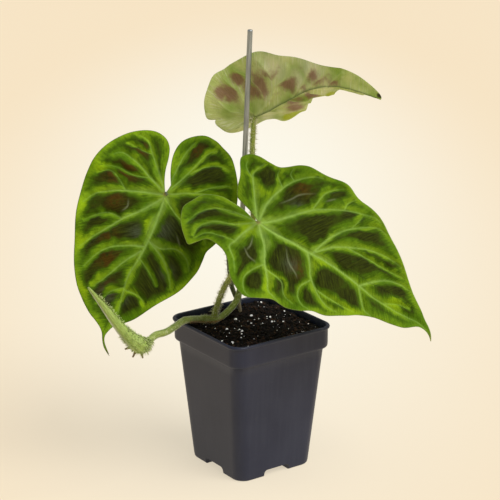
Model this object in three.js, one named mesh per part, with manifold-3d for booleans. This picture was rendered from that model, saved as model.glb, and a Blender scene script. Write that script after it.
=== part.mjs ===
// A potted philodendron with velvety heart-shaped leaves: three leaves on bristly stalks, a creeping
// stem that runs over the rim of a square nursery pot to a new shoot, a metal support stake, and soil.
// Millimetres, +Z up. The pot's sides lie along X and Y. The plant is built facing -Y and then turned
// as one group on the pot. The origin is the middle of the whole outline, on the floor.
import * as THREE from 'three';
import { mergeVertices } from 'three/addons/utils/BufferGeometryUtils.js';
import Module from 'manifold-3d';

const wasm = await Module();
wasm.setup();

// Driving dimensions of the pot, a four-inch square nursery pot, 5 inches tall
const POT_WIDTH = 102; // across the rolled lip
const POT_HEIGHT = 127;
const BAND_HEIGHT = 20; // the thicker band under the lip
const BAND_WIDTH = 100;
const WALL_TOP_WIDTH = 94; // just under the band
const POT_BASE_WIDTH = 76;
const CORNER_RADIUS = 11.6;
const POT_WALL = 1.5;
const FLOOR_TOP = 7; // inside of the pot's floor
const FOOT_HEIGHT = 4;
const ARCH_WIDTH = 29; // gap between two feet
const ARCH_ROUND = 3;
const DRAIN_DIAMETER = 9;
const DRAIN_OFFSET = 19;

// Driving dimensions of the soil, the stake and the plant
const SOIL_LEVEL = 118;
const SOIL_UNDER_STEM = 117.9; // pressed flat where the stem lies
const PRESSED_WIDTH = 13;
const SOIL_MOUND = 1.6; // how much higher the middle is
const SOIL_LUMP = 1.1; // height of the lumps, up and down
const CLEARANCE = 0.3; // between pieces that touch
const STAKE_DIAMETER = 4.4;
const STAKE_TOP = [-0.5, 36, 368];
const STAKE_FOOT = [-12.2, 41.3, 85];
const PLANT_TURN = THREE.MathUtils.degToRad(54.6); // the plant's face, turned from the pot's front
const STEM_RADIUS = 3;
const PETIOLE_RADIUS = 2.3;
const SHOOT_RADIUS = 5.8;
const SHOOT_SWELL = 2.2; // how much thicker the shoot is just above its base
const SHOOT_TIP_RADIUS = 0.7;
const COMB_SECTOR = [Math.PI - 1.2, Math.PI + 1.2]; // angles round the shoot where its comb of bristles is
const BLADE_THICKNESS = 0.9;
const MESH_CELL = 6; // spacing of the points that shape a blade
const BRISTLE_LENGTH = 2.4;
const BRISTLE_RADIUS = 0.35;
const ROOT_DEPTH = 0.6; // how deep a bristle's root is sunk, as a share of the stalk's radius

// The leaves. Points are [across, along] in the blade's plane, in millimetres: the stalk joins at
// [0, 0], the tip is at positive "along" and the two back lobes at negative "along".
// facing, tilt and lean are degrees: where the upper face looks, how far up, and how the tip leans.
const LEAVES = {
  left: {
    joint: [-72, 25, 231],
    facing: -6, tilt: 36, lean: -20,
    length: 140, halfWidth: 70, foldLeft: 0.1, foldRight: 0.1, arch: 9, droop: 12, lobeDroop: 6, bow: 0,
    waves: 9, waveHeight: 1.6, waveStart: 0.5,
    outline: [[0, 0], [5, -10], [8.5, -20], [11, -31], [15, -41], [22, -48], [33, -51], [45, -48],
      [56, -40], [65, -26], [70, -10], [71, 4], [70, 18], [66, 36], [59, 56], [50, 77], [39, 97],
      [29, 109], [16, 120], [6, 127], [-2, 133], [-7, 139], [-13, 144], [-9, 138], [-5, 131],
      [-6, 123], [-11, 116], [-20, 108], [-30, 95], [-40, 81], [-48, 68], [-53, 54], [-53, 42],
      [-53, 34], [-57, 26], [-62, 14], [-64, 2], [-61, -10], [-57, -22], [-52, -33], [-44, -45],
      [-36, -54], [-26, -60], [-16, -65], [-5, -66], [4, -59], [9, -49], [9, -36], [5, -22], [-1, -9]],
    veins: [
      [[0, 0], [-2, 16], [-3, 45], [0, 75], [-4, 107], [-4, 125]],
      [[0, 0], [18, -9], [33, -17], [57, -18]],
      [[0, 0], [14, -17], [26, -30], [44, -43]],
      [[0, 0], [15, 4], [47, 15], [63, 31]],
      [[0, 2], [13, 20], [25, 33], [43, 57], [49, 68]],
      [[-3, 47], [10, 52], [24, 59], [33, 69], [39, 83]],
      [[0, 52], [9, 67], [24, 95]],
      [[-1, 1], [-22, 16], [-50, 20]],
      [[-4, 42], [-28, 41], [-40, 46], [-46, 54]],
      [[-4, 42], [-14, 48], [-24, 55], [-37, 71]],
      [[-1, 80], [-16, 90], [-23, 94]],
      [[-1, -2], [-7, -18], [-12, -33], [-23, -56]],
      [[-1, -2], [1, -28], [-1, -56]],
      [[0, 0], [-17, -8], [-29, -12], [-54, -14]],
    ],
  },
  right: {
    joint: [6, -28, 222],
    facing: 8, tilt: 44, lean: 58,
    length: 168, halfWidth: 70, foldLeft: 0.12, foldRight: 0.12, arch: 10, droop: 22, lobeDroop: 8, bow: 0,
    waves: 11, waveHeight: 2.2, waveStart: 0,
    outline: [[0, 0], [-1, -5], [-6, -16], [-9, -28], [-11, -38], [-10, -49], [-7, -55], [-1, -59],
      [8, -63], [19, -60], [28, -55], [37, -47], [41, -42], [37, -37], [32, -31], [32, -24],
      [36, -14], [44, -6], [54, 1], [61, 12], [64, 21], [61, 31], [56, 42], [56, 54], [54, 65],
      [48, 74], [45, 86], [39, 98], [31, 107], [26, 118], [24, 132], [21, 144], [14, 153], [13, 159],
      [15, 164], [19, 168], [14, 166], [9, 162], [4, 156], [-3, 149], [-12, 138], [-22, 127],
      [-33, 115], [-42, 106], [-50, 95], [-57, 83], [-62, 73], [-64, 61], [-69, 50], [-70, 38],
      [-69, 18], [-65, 8], [-59, -1], [-56, -8], [-57, -17], [-59, -27], [-58, -35], [-52, -40],
      [-46, -39], [-38, -35], [-31, -32], [-23, -30], [-15, -26], [-11, -19], [-7, -10], [-3, -4]],
    veins: [
      [[0, 0], [1, 30], [2, 61], [7, 97], [10, 120], [10, 145], [12, 158]],
      [[1, 2], [16, 14], [30, 21], [51, 35], [56, 46]],
      [[30, 21], [41, 14], [50, 12], [62, 24]],
      [[1, 0], [13, -6], [30, -11], [39, -3], [50, 4]],
      [[0, -1], [9, -16], [13, -33], [22, -42], [32, -43]],
      [[2, 46], [22, 59], [32, 70], [40, 90]],
      [[25, 60], [33, 55], [42, 57], [49, 71]],
      [[30, 68], [31, 87], [30, 105]],
      [[7, 96], [17, 103], [26, 117]],
      [[-1, -1], [-19, -12], [-36, -22], [-50, -27]],
      [[-1, 0], [-21, -1], [-37, 3], [-50, 9], [-66, 29]],
      [[-1, 2], [-25, 26], [-43, 49], [-54, 78], [-53, 88]],
      [[-37, 34], [-51, 36], [-65, 49]],
      [[1, 51], [-15, 56], [-29, 64], [-47, 87], [-46, 97]],
      [[1, 51], [-11, 62], [-26, 91], [-25, 121]],
      [[6, 96], [-3, 105], [-13, 127], [-12, 137]],
    ],
  },
  top: {
    joint: [2.8, 60, 289.5],
    facing: 176, tilt: 31, lean: -123,
    length: 125, halfWidth: 50, foldLeft: 0.42, foldRight: 0.66, arch: 3, droop: 46, lobeDroop: 8, bow: 16,
    waves: 9, waveHeight: 1.6, waveStart: 0.4,
    outline: [[0, 0], [4, -8], [8, -19], [13, -30], [18, -36], [25, -34], [33, -29], [40, -21],
      [46, -11], [46, 0], [48, 9], [51, 22], [51, 34], [48, 49], [44, 62], [39, 74], [35, 88],
      [32, 102], [29, 110], [20, 117], [9, 122], [1, 128], [-6, 120], [-12, 110], [-13, 100],
      [-8, 96], [-2, 88], [-6, 79], [-13, 72], [-14, 64], [-9, 57], [-16, 46], [-25, 36], [-29, 29],
      [-32, 19], [-29, 11], [-21, 7], [-15, 0], [-14, -8], [-12, -15], [-6, -21], [2, -24],
      [6, -21], [5, -14], [1, -6]],
    veins: [
      [[0, 0], [3, 21], [7, 41], [14, 66], [16, 90], [12, 107], [1, 124]],
      [[0, 0], [15, -14], [31, -20]],
      [[1, 1], [22, 3], [40, 0]],
      [[1, 2], [13, 24], [22, 35], [44, 36]],
      [[22, 35], [28, 50], [36, 58]],
      [[8, 44], [22, 66], [30, 84]],
      [[15, 74], [22, 92], [24, 106]],
      [[0, 1], [-12, 12], [-26, 16], [-34, 14]],
      [[3, 14], [-8, 30], [-22, 42]],
      [[12, 60], [4, 70], [-8, 78]],
      [[0, 0], [-2, -12], [-6, -20]],
    ],
  },
};

// Centre lines of the stem and the leaf stalks, in the plant's own frame
const STEM_LINE = [[-84, -53, 127.5], [-78, -44.5, 130], [-70, -39, 130.6], [-63, -26.5, 130.9],
  [-57, -14, 131.1], [-52, -7, 130], [-46, 4, 126.5], [-39, 12.5, 123.4], [-31, 14, 122.4],
  [-25, 18.5, 123.5], [-18, 24, 128], [-12.5, 28.5, 134], [-9.3, 31, 143], [-6.2, 31, 154],
  [-3.2, 30, 168], [-1.5, 29, 180]];
const RIGHT_PETIOLE_LINE = [[-31.5, 14.2, 122.5], [-30.8, 14, 130], [-29.3, 11.5, 138], [-26.5, 8, 148],
  [-23, 3, 157.5], [-15.7, -3, 171], [-6.5, -8.5, 189], [1, -16, 206]];
const LEFT_PETIOLE_LINE = [[-7.8, 34.5, 98], [-8.7, 34.5, 119], [-10.5, 35, 129.5], [-13.4, 35.5, 136.5],
  [-17, 37, 147.5], [-18.2, 37.5, 161], [-20, 37, 177], [-28, 37, 191], [-43, 38, 206.5],
  [-58, 38, 219], [-67, 34, 226.5]];
const TOP_PETIOLE_LINE = [[-1.5, 29, 178], [1, 31.5, 196.5], [2.2, 34, 209.5], [1.7, 41, 238],
  [1.4, 47, 261], [2.2, 54, 281]];
const SHOOT_LINE = [[-82.8, -51.6, 128], [-89, -58, 126.2], [-97, -61, 132.5], [-107.5, -63.5, 146],
  [-119, -66, 163.5], [-130, -68, 179.5]];
const STUB_START = [-91, -57, 127];
const STUB_ENDS = [[-101, -60, 124.5], [-95, -60, 118], [-88, -59, 117], [-84, -57, 121.5]];
const ROOT_LINE = [[-31, 15, 121.5], [-30, 15.5, 114], [-31, 15, 104]];

const COLOURS = {
  pot: 0x3d3d42,
  soil: 0x1d1511,
  stake: 0x8d9492,
  stem: 0x6f8740,
  petiole: 0x7c7c38,
  shoot: 0x9cae6c,
  leaf: 0x5a8a22,
  underside: 0x98b060,
};

// A repeatable random sequence between 0 and 1
function seeded(seed) {
  let state = seed;
  return () => {
    state = (state * 1664525 + 1013904223) % 4294967296;
    return state / 4294967296;
  };
}

const point = ([x, y, z]) => new THREE.Vector3(x, y, z);

// A closed mesh becomes a solid that can be joined and cut, and back again
function solid(geometry) {
  const bare = geometry.clone();
  bare.deleteAttribute('normal');
  bare.deleteAttribute('uv');
  const merged = mergeVertices(bare, 1e-4);
  return new wasm.Manifold(new wasm.Mesh({
    numProp: 3,
    vertProperties: Float32Array.from(merged.attributes.position.array),
    triVerts: Uint32Array.from(merged.index.array),
  }));
}

function geometryOf(body) {
  const mesh = body.getMesh();
  const geometry = new THREE.BufferGeometry();
  const corners = new Float32Array(mesh.vertProperties);
  geometry.setAttribute('position', new THREE.BufferAttribute(corners, 3));
  geometry.setIndex(new THREE.BufferAttribute(new Uint32Array(mesh.triVerts), 1));
  geometry.computeVertexNormals();
  return geometry;
}

// The largest of the pieces that a cut has left
const largest = (body) => body.decompose().sort((a, b) => b.volume() - a.volume())[0];

// Rings of points, one after the other, become a closed skin with a flat or peaked cap at each end.
// Each ring runs anticlockwise when seen from the ring after it.
function loft(rings) {
  const count = rings[0].length;
  const positions = rings.flat().flatMap((p) => p.toArray());
  const faces = [];
  for (let i = 0; i < rings.length - 1; i += 1) {
    for (let j = 0; j < count; j += 1) {
      const a = i * count + j;
      const b = i * count + ((j + 1) % count);
      faces.push(a, b, b + count, a, b + count, a + count);
    }
  }
  [0, rings.length - 1].forEach((i) => {
    const middle = positions.length / 3;
    const centre = new THREE.Vector3();
    rings[i].forEach((p) => centre.addScaledVector(p, 1 / count));
    positions.push(...centre.toArray());
    for (let j = 0; j < count; j += 1) {
      const a = i * count + j;
      const b = i * count + ((j + 1) % count);
      faces.push(...(i === 0 ? [middle, b, a] : [middle, a, b]));
    }
  });
  const geometry = new THREE.BufferGeometry();
  geometry.setAttribute('position', new THREE.Float32BufferAttribute(positions, 3));
  geometry.setIndex(faces);
  geometry.computeVertexNormals();
  return geometry;
}

// A square with rounded corners at one height
function roundedSquare(width, radius, height, cornerSteps = 5, sideSteps = 1) {
  const ring = [];
  const reach = width / 2 - radius;
  for (let corner = 0; corner < 4; corner += 1) {
    const turn = (corner * Math.PI) / 2;
    const centre = new THREE.Vector2(reach, reach).rotateAround(new THREE.Vector2(), turn);
    for (let i = 0; i <= cornerSteps; i += 1) {
      const angle = turn + (i / cornerSteps) * (Math.PI / 2);
      const x = centre.x + radius * Math.cos(angle);
      const y = centre.y + radius * Math.sin(angle);
      ring.push(new THREE.Vector3(x, y, height));
    }
    const from = ring[ring.length - 1];
    const side = new THREE.Vector3(-Math.cos(turn), -Math.sin(turn), 0);
    for (let i = 1; i < sideSteps; i += 1) {
      ring.push(from.clone().addScaledVector(side, (2 * reach * i) / sideSteps));
    }
  }
  return ring;
}

// A round stalk along a smooth line. grow makes it thicker and a little longer at its first end,
// which gives the hole that it stands in.
function stalk(line, radiusAt, sides = 8, steps = 24, grow = 0) {
  const points = line.map(point);
  if (grow > 0) {
    const outwards = points[0].clone().sub(points[1]).normalize();
    points[0].addScaledVector(outwards, grow);
  }
  const curve = new THREE.CatmullRomCurve3(points, false, 'centripetal');
  const frames = curve.computeFrenetFrames(steps, false);
  const rings = [];
  for (let i = 0; i <= steps; i += 1) {
    const centre = curve.getPointAt(i / steps);
    const radius = radiusAt(i / steps) + grow;
    const ring = [];
    for (let j = 0; j < sides; j += 1) {
      const angle = (j / sides) * 2 * Math.PI;
      ring.push(centre.clone()
        .addScaledVector(frames.normals[i], radius * Math.cos(angle))
        .addScaledVector(frames.binormals[i], radius * Math.sin(angle)));
    }
    rings.push(ring);
  }
  return loft(rings);
}

// Bristles stand out of a stalk's side, each a three-sided needle with its root sunk in.
// sector gives the range of angles round the stalk in which they grow.
function bristles(line, radiusAt, count, seed, reach = [0.06, 0.94], sector = [0, 2 * Math.PI]) {
  const random = seeded(seed);
  const curve = new THREE.CatmullRomCurve3(line.map(point), false, 'centripetal');
  const steps = 60;
  const frames = curve.computeFrenetFrames(steps, false);
  const needles = [];
  for (let i = 0; i < count; i += 1) {
    const t = reach[0] + ((reach[1] - reach[0]) * (i + random())) / count;
    const frame = Math.round(t * steps);
    const angle = sector[0] + (sector[1] - sector[0]) * random();
    const outwards = frames.normals[frame].clone().multiplyScalar(Math.cos(angle))
      .addScaledVector(frames.binormals[frame], Math.sin(angle))
      .addScaledVector(frames.tangents[frame], 0.5 * (random() - 0.3))
      .normalize();
    const length = BRISTLE_LENGTH * (0.8 + 0.5 * random());
    const sunk = radiusAt(t) * ROOT_DEPTH;
    const needle = new THREE.ConeGeometry(BRISTLE_RADIUS, length + sunk, 3);
    needle.translate(0, (length + sunk) / 2, 0);
    needle.applyQuaternion(new THREE.Quaternion().setFromUnitVectors(new THREE.Vector3(0, 1, 0), outwards));
    needle.translate(...curve.getPointAt(t).addScaledVector(outwards, radiusAt(t) - sunk).toArray());
    needles.push(solid(needle));
  }
  return needles;
}

// The blade as a height over its own plane: the halves rise from the midrib and arch over, the tip
// and the lobes droop, the margin waves, and the tissue sinks along the veins.
const distanceTo = (x, y, line) => {
  let nearest = Infinity;
  for (let i = 0; i < line.length - 1; i += 1) {
    const [ax, ay] = line[i];
    const [bx, by] = line[i + 1];
    const along = (x - ax) * (bx - ax) + (y - ay) * (by - ay);
    const t = THREE.MathUtils.clamp(along / ((bx - ax) ** 2 + (by - ay) ** 2), 0, 1);
    nearest = Math.min(nearest, Math.hypot(x - ax - t * (bx - ax), y - ay - t * (by - ay)));
  }
  return nearest;
};
const WAVE_REACH = 18; // how far in from the margin the waves run
const RELIEF = 1.5; // how deep the blade sinks at a vein
const RELIEF_WIDTH = 5;
const FOLD_ROUND = 5;
const MIDRIB_RADIUS = 1.1;
const RIB_SINK = 0.8; // how far a rib's middle lies under the upper face, in blade thicknesses
const LOBE_LENGTH = 40;

function bladeHeight(leaf, x, y) {
  const forward = THREE.MathUtils.clamp(y / leaf.length, 0, 1);
  const across = x - leaf.bow * Math.sin(Math.PI * forward ** 2);
  const fold = across > 0 ? leaf.foldLeft : leaf.foldRight;
  let height = fold * (Math.hypot(across, FOLD_ROUND) - FOLD_ROUND);
  height -= leaf.arch * (across / leaf.halfWidth) ** 2;
  height -= y > 0 ? leaf.droop * (y / leaf.length) ** 2 : leaf.lobeDroop * (y / LOBE_LENGTH) ** 2;
  const inFromEdge = distanceTo(x, y, leaf.outline);
  const nearEdge = Math.max(0, 1 - inFromEdge / WAVE_REACH) ** 2;
  const round = Math.atan2(x, y - leaf.length * 0.3);
  height += leaf.waveHeight * nearEdge * Math.sin(leaf.waves * round + leaf.waveStart);
  const fromVein = Math.min(...leaf.veins.map((vein) => distanceTo(x, y, vein)));
  height -= RELIEF * Math.exp(-((fromVein / RELIEF_WIDTH) ** 2)) * (1 - nearEdge);
  return height;
}

// A slab that follows the blade's height over a rectangle, with both faces split alike
function bladeSlab(leaf, [left, right, back, front], lower, upper, cell) {
  const columns = Math.ceil((right - left) / cell);
  const rows = Math.ceil((front - back) / cell);
  const layer = (columns + 1) * (rows + 1);
  const positions = [];
  const faces = [];
  [lower, upper].forEach((offset) => {
    for (let j = 0; j <= rows; j += 1) {
      for (let i = 0; i <= columns; i += 1) {
        const x = left + (i / columns) * (right - left);
        const y = back + (j / rows) * (front - back);
        positions.push(x, y, bladeHeight(leaf, x, y) + offset);
      }
    }
  });
  const at = (i, j) => j * (columns + 1) + i;
  for (let j = 0; j < rows; j += 1) {
    for (let i = 0; i < columns; i += 1) {
      const [a, b, c, d] = [at(i, j), at(i + 1, j), at(i + 1, j + 1), at(i, j + 1)];
      faces.push(layer + a, layer + b, layer + c, layer + a, layer + c, layer + d);
      faces.push(a, c, b, a, d, c);
    }
  }
  const wall = (a, b) => faces.push(a, b, layer + b, a, layer + b, layer + a);
  for (let i = 0; i < columns; i += 1) {
    wall(at(i, 0), at(i + 1, 0));
    wall(at(i + 1, rows), at(i, rows));
  }
  for (let j = 0; j < rows; j += 1) {
    wall(at(0, j + 1), at(0, j));
    wall(at(columns, j), at(columns, j + 1));
  }
  const geometry = new THREE.BufferGeometry();
  geometry.setAttribute('position', new THREE.Float32BufferAttribute(positions, 3));
  geometry.setIndex(faces);
  return geometry;
}

// Where a leaf stands: its joint, and the directions across, along and out of its blade
function leafPlace(leaf) {
  const [facing, tilt, lean] = [leaf.facing, leaf.tilt, leaf.lean].map(THREE.MathUtils.degToRad);
  const out = new THREE.Vector3(
    Math.sin(facing) * Math.cos(tilt),
    -Math.cos(facing) * Math.cos(tilt),
    Math.sin(tilt),
  );
  const down = new THREE.Vector3(
    Math.sin(facing) * Math.sin(tilt),
    -Math.cos(facing) * Math.sin(tilt),
    -Math.cos(tilt),
  );
  const level = new THREE.Vector3().crossVectors(out, down);
  const along = down.clone().multiplyScalar(Math.cos(lean)).addScaledVector(level, Math.sin(lean));
  const across = new THREE.Vector3().crossVectors(along, out);
  return new THREE.Matrix4().makeBasis(across, along, out).setPosition(...leaf.joint);
}

// The midrib stands out under the blade
function rib(leaf, vein, radius) {
  const curve = new THREE.SplineCurve(vein.map(([x, y]) => new THREE.Vector2(x, y)));
  const line = curve.getPoints(vein.length * 2)
    .map(({ x, y }) => [x, y, bladeHeight(leaf, x, y) - BLADE_THICKNESS * RIB_SINK]);
  return solid(stalk(line, (t) => radius * (1 - 0.6 * t), 5, vein.length * 2));
}

function makeBlade(leaf) {
  const outline = new THREE.SplineCurve(leaf.outline.map(([x, y]) => new THREE.Vector2(x, y)));
  const shape = new THREE.Shape(outline.getPoints(Math.round(leaf.outline.length * 1.5)));
  const cutter = new THREE.ExtrudeGeometry(shape, { depth: 200, bevelEnabled: false });
  cutter.translate(0, 0, -100);
  const xs = leaf.outline.map(([x]) => x);
  const ys = leaf.outline.map(([, y]) => y);
  const margin = 2;
  const bounds = [Math.min(...xs) - margin, Math.max(...xs) + margin,
    Math.min(...ys) - margin, Math.max(...ys) + margin];
  const slab = solid(bladeSlab(leaf, bounds, -BLADE_THICKNESS, 0, MESH_CELL));
  return slab.intersect(solid(cutter)).add(rib(leaf, leaf.veins[0], MIDRIB_RADIUS));
}

// A leaf stalk ends just under its blade: what lies nearer than the clearance is cut away
function makePetiole(line, leaf, bristleCount, seed, cuts) {
  const place = leafPlace(leaf);
  const end = new THREE.Vector3(0, 0, -BLADE_THICKNESS).applyMatrix4(place);
  const whole = [...line, end.toArray()];
  const needles = bristles(whole, petioleRadius, bristleCount, seed);
  const stalkBody = solid(stalk(whole, petioleRadius, STALK_SIDES, PETIOLE_STEPS));
  let body = wasm.Manifold.union([stalkBody, ...needles]);
  const nearJoint = 14;
  const above = 9;
  const cell = 2;
  const slab = bladeSlab(leaf, [-nearJoint, nearJoint, -nearJoint, nearJoint],
    -BLADE_THICKNESS * RIB_SINK - MIDRIB_RADIUS - CLEARANCE, above, cell);
  body = body.subtract(solid(slab.applyMatrix4(place)));
  cuts.forEach((cut) => {
    body = body.subtract(cut);
  });
  return largest(body);
}

function makePot() {
  const wallWidth = (height) => THREE.MathUtils.mapLinear(
    height, 0, POT_HEIGHT - BAND_HEIGHT, POT_BASE_WIDTH, WALL_TOP_WIDTH);
  const bandFoot = POT_HEIGHT - BAND_HEIGHT;
  const lip = (POT_WIDTH - BAND_WIDTH) / 2;
  // Heights and widths up the outside, over the lip and down the inside
  const profile = [
    [0, POT_BASE_WIDTH - 1.6],
    [0.8, POT_BASE_WIDTH],
    [bandFoot, WALL_TOP_WIDTH],
    [bandFoot + 0.5, WALL_TOP_WIDTH + 2.4],
    [bandFoot + 1.8, BAND_WIDTH - 1.2],
    [bandFoot + 3.6, BAND_WIDTH - 0.4],
    [POT_HEIGHT - 3.4, BAND_WIDTH],
    [POT_HEIGHT - 2.8, POT_WIDTH - 0.4],
    [POT_HEIGHT - 1.7, POT_WIDTH],
    [POT_HEIGHT - 0.6, POT_WIDTH - 0.5],
    [POT_HEIGHT, POT_WIDTH - 2 * lip],
    [POT_HEIGHT - 0.2, POT_WIDTH - 3.4],
    [POT_HEIGHT - 1.2, POT_WIDTH - 4.4],
    [bandFoot + 1, BAND_WIDTH - 2 * POT_WALL - 1.6],
    [bandFoot - 2.5, WALL_TOP_WIDTH - 2 * POT_WALL - 0.4],
    [FLOOR_TOP, wallWidth(FLOOR_TOP) - 2 * POT_WALL],
  ];
  const radius = (width) => CORNER_RADIUS - (POT_WIDTH - width) * 0.04;
  let pot = solid(loft(profile.map(([height, width]) => roundedSquare(width, radius(width), height))));
  // Arches between the four feet
  const half = ARCH_WIDTH / 2;
  const arch = new THREE.Shape();
  arch.moveTo(-half - 1, -1);
  arch.lineTo(half + 1, -1);
  arch.lineTo(half - 0.6, FOOT_HEIGHT - ARCH_ROUND / 2);
  arch.quadraticCurveTo(half - 1, FOOT_HEIGHT, half - ARCH_ROUND, FOOT_HEIGHT);
  arch.lineTo(-half + ARCH_ROUND, FOOT_HEIGHT);
  arch.quadraticCurveTo(-half + 1, FOOT_HEIGHT, -half + 0.6, FOOT_HEIGHT - ARCH_ROUND / 2);
  arch.closePath();
  [0, Math.PI / 2].forEach((turn) => {
    const settings = { depth: POT_WIDTH, bevelEnabled: false, curveSegments: 3 };
    const tunnel = new THREE.ExtrudeGeometry(arch, settings);
    tunnel.translate(0, 0, -POT_WIDTH / 2);
    tunnel.rotateX(Math.PI / 2);
    tunnel.rotateZ(turn);
    pot = pot.subtract(solid(tunnel));
  });
  // Drain holes through the floor
  const places = [[0, 0], [DRAIN_OFFSET, 0], [-DRAIN_OFFSET, 0], [0, DRAIN_OFFSET], [0, -DRAIN_OFFSET]];
  places.forEach(([x, y]) => {
    const drain = new THREE.CylinderGeometry(DRAIN_DIAMETER / 2, DRAIN_DIAMETER / 2, FLOOR_TOP, 16);
    drain.rotateX(Math.PI / 2);
    drain.translate(x, y, FLOOR_TOP - 1);
    pot = pot.subtract(solid(drain));
  });
  return pot;
}

function makeSoil(holes) {
  const inside = (height) => THREE.MathUtils.mapLinear(
    height, 0, POT_HEIGHT - BAND_HEIGHT, POT_BASE_WIDTH, WALL_TOP_WIDTH) - 2 * POT_WALL - 2 * CLEARANCE - 0.5;
  const random = seeded(11);
  const stemOnSoil = STEM_LINE.slice(6, 11).map((place) => point(place)
    .applyAxisAngle(new THREE.Vector3(0, 0, 1), PLANT_TURN).toArray());
  const foot = FLOOR_TOP + CLEARANCE;
  const shoulder = POT_HEIGHT - BAND_HEIGHT - 3;
  const radius = CORNER_RADIUS - 2;
  const top = inside(shoulder) + 1;
  const rings = [
    roundedSquare(inside(foot), radius, foot, 3, 9),
    roundedSquare(inside(shoulder), radius, shoulder, 3, 9),
  ];
  [1, 0.86, 0.7, 0.54, 0.38, 0.22, 0.08].forEach((share) => {
    const ring = roundedSquare(top * share, radius * share, SOIL_LEVEL, 3, 9);
    ring.forEach((p) => {
      p.z += SOIL_MOUND * (1 - share ** 2) + SOIL_LUMP * (2 * random() - 1);
      if (distanceTo(p.x, p.y, stemOnSoil) < PRESSED_WIDTH) p.z = Math.min(p.z, SOIL_UNDER_STEM);
    });
    rings.push(ring);
  });
  let soil = solid(loft(rings));
  holes.forEach((hole) => {
    soil = soil.subtract(hole);
  });
  return largest(soil);
}

// The stem: thick where it lies on the soil, with a swollen joint at each leaf stalk, and a root
const stemRadius = (t) => STEM_RADIUS * (1 - 0.12 * t) + 0.7 * Math.exp(-(((t - 0.5) / 0.03) ** 2));
const rootRadius = (t) => 1.6 - 0.9 * t;
const stubRadius = (t) => 1.9 - 0.7 * t;
const STALK_SIDES = 8;
const STEM_STEPS = 44;
const PETIOLE_STEPS = 26;
const stemSolid = (grow) => solid(stalk(STEM_LINE, stemRadius, STALK_SIDES, STEM_STEPS, grow));
const rootSkin = (grow) => stalk(ROOT_LINE, rootRadius, 6, 6, grow);
const stemSpace = stemSolid(CLEARANCE);

// The stalks widen where they clasp the stem
const petioleRadius = (t) => PETIOLE_RADIUS * (1 + 0.25 * Math.exp(-t / 0.06) - 0.12 * t);
const stakeLine = [STAKE_FOOT, STAKE_TOP];
const stakeRadius = () => STAKE_DIAMETER / 2;

// The new shoot: a rolled leaf in its sheath, thickest and shaggy at the base, bristly along one edge,
// with short blunt roots at its foot
const shootRadius = (t) => {
  const taper = SHOOT_RADIUS * (1 - t) ** 0.8;
  const swell = SHOOT_SWELL * Math.exp(-(((t - 0.1) / 0.12) ** 2));
  return (taper + swell) * Math.min(1, 0.6 + 4 * t) + SHOOT_TIP_RADIUS;
};

function makeShoot() {
  const body = solid(stalk(SHOOT_LINE, shootRadius, 10, 22));
  const comb = bristles(SHOOT_LINE, shootRadius, 34, 5, [0.12, 0.9], COMB_SECTOR);
  const shag = bristles(SHOOT_LINE, shootRadius, 26, 9, [0.08, 0.3]);
  const stubs = STUB_ENDS.map((end) => solid(stalk([STUB_START, end], stubRadius, 6, 3)));
  return wasm.Manifold.union([body, ...comb, ...shag, ...stubs]).subtract(stemSpace);
}

const turned = (geometry) => geometry.rotateZ(PLANT_TURN);
const soilHoles = [
  solid(turned(rootSkin(CLEARANCE))),
  solid(turned(stalk(LEFT_PETIOLE_LINE, petioleRadius, STALK_SIDES, PETIOLE_STEPS, CLEARANCE))),
  solid(turned(stalk(stakeLine, stakeRadius, 12, 2, CLEARANCE))),
];

function piece(name, body, colour, roughness = 0.6, metalness = 0) {
  const material = new THREE.MeshStandardMaterial({ color: colour, roughness, metalness });
  const mesh = new THREE.Mesh(geometryOf(body), material);
  mesh.name = name;
  return mesh;
}

const plant = new THREE.Group();
plant.rotation.z = PLANT_TURN;
Object.entries(LEAVES).forEach(([side, leaf]) => {
  const colour = side === 'top' ? COLOURS.underside : COLOURS.leaf;
  const blade = piece(`leaf_${side}`, makeBlade(leaf), colour, 0.7);
  leafPlace(leaf).decompose(blade.position, blade.quaternion, blade.scale);
  plant.add(blade);
});
plant.add(
  piece('stem', stemSolid(0).add(solid(rootSkin(0))), COLOURS.stem, 0.5),
  piece('petiole_right', makePetiole(RIGHT_PETIOLE_LINE, LEAVES.right, 30, 21, [stemSpace]), COLOURS.petiole),
  piece('petiole_left', makePetiole(LEFT_PETIOLE_LINE, LEAVES.left, 0, 22, []), COLOURS.petiole),
  piece('petiole_top', makePetiole(TOP_PETIOLE_LINE, LEAVES.top, 30, 23, [stemSpace]), COLOURS.petiole),
  piece('new_shoot', makeShoot(), COLOURS.shoot, 0.7),
  piece('support_stake', solid(stalk(stakeLine, stakeRadius, 12, 2)), COLOURS.stake, 0.35, 0.9),
);

const whole = new THREE.Group();
whole.add(
  piece('pot', makePot(), COLOURS.pot, 0.45),
  piece('soil', makeSoil(soilHoles), COLOURS.soil, 0.95),
  plant,
);

// The origin goes to the middle of the whole outline, on the floor
whole.updateMatrixWorld(true);
const outlineBox = new THREE.Box3().setFromObject(whole, true);
const middle = outlineBox.getCenter(new THREE.Vector3());
whole.position.set(-middle.x, -middle.y, -outlineBox.min.z);

const group = new THREE.Group();
group.add(whole);

export default group;
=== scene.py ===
"""A potted philodendron with velvety heart-shaped leaves, finished around its frame.

The plant is laid out in millimetres in its own frame: X to the right when it is seen from its front, Y
away from there, Z up, and the middle of the pot at zero. place_plant turns that into the part's metres.
Points of a leaf are [across, along] in the plane of its blade: the stalk joins at [0, 0], the tip is at
positive "along" and the two back lobes at negative "along".
"""

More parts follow.
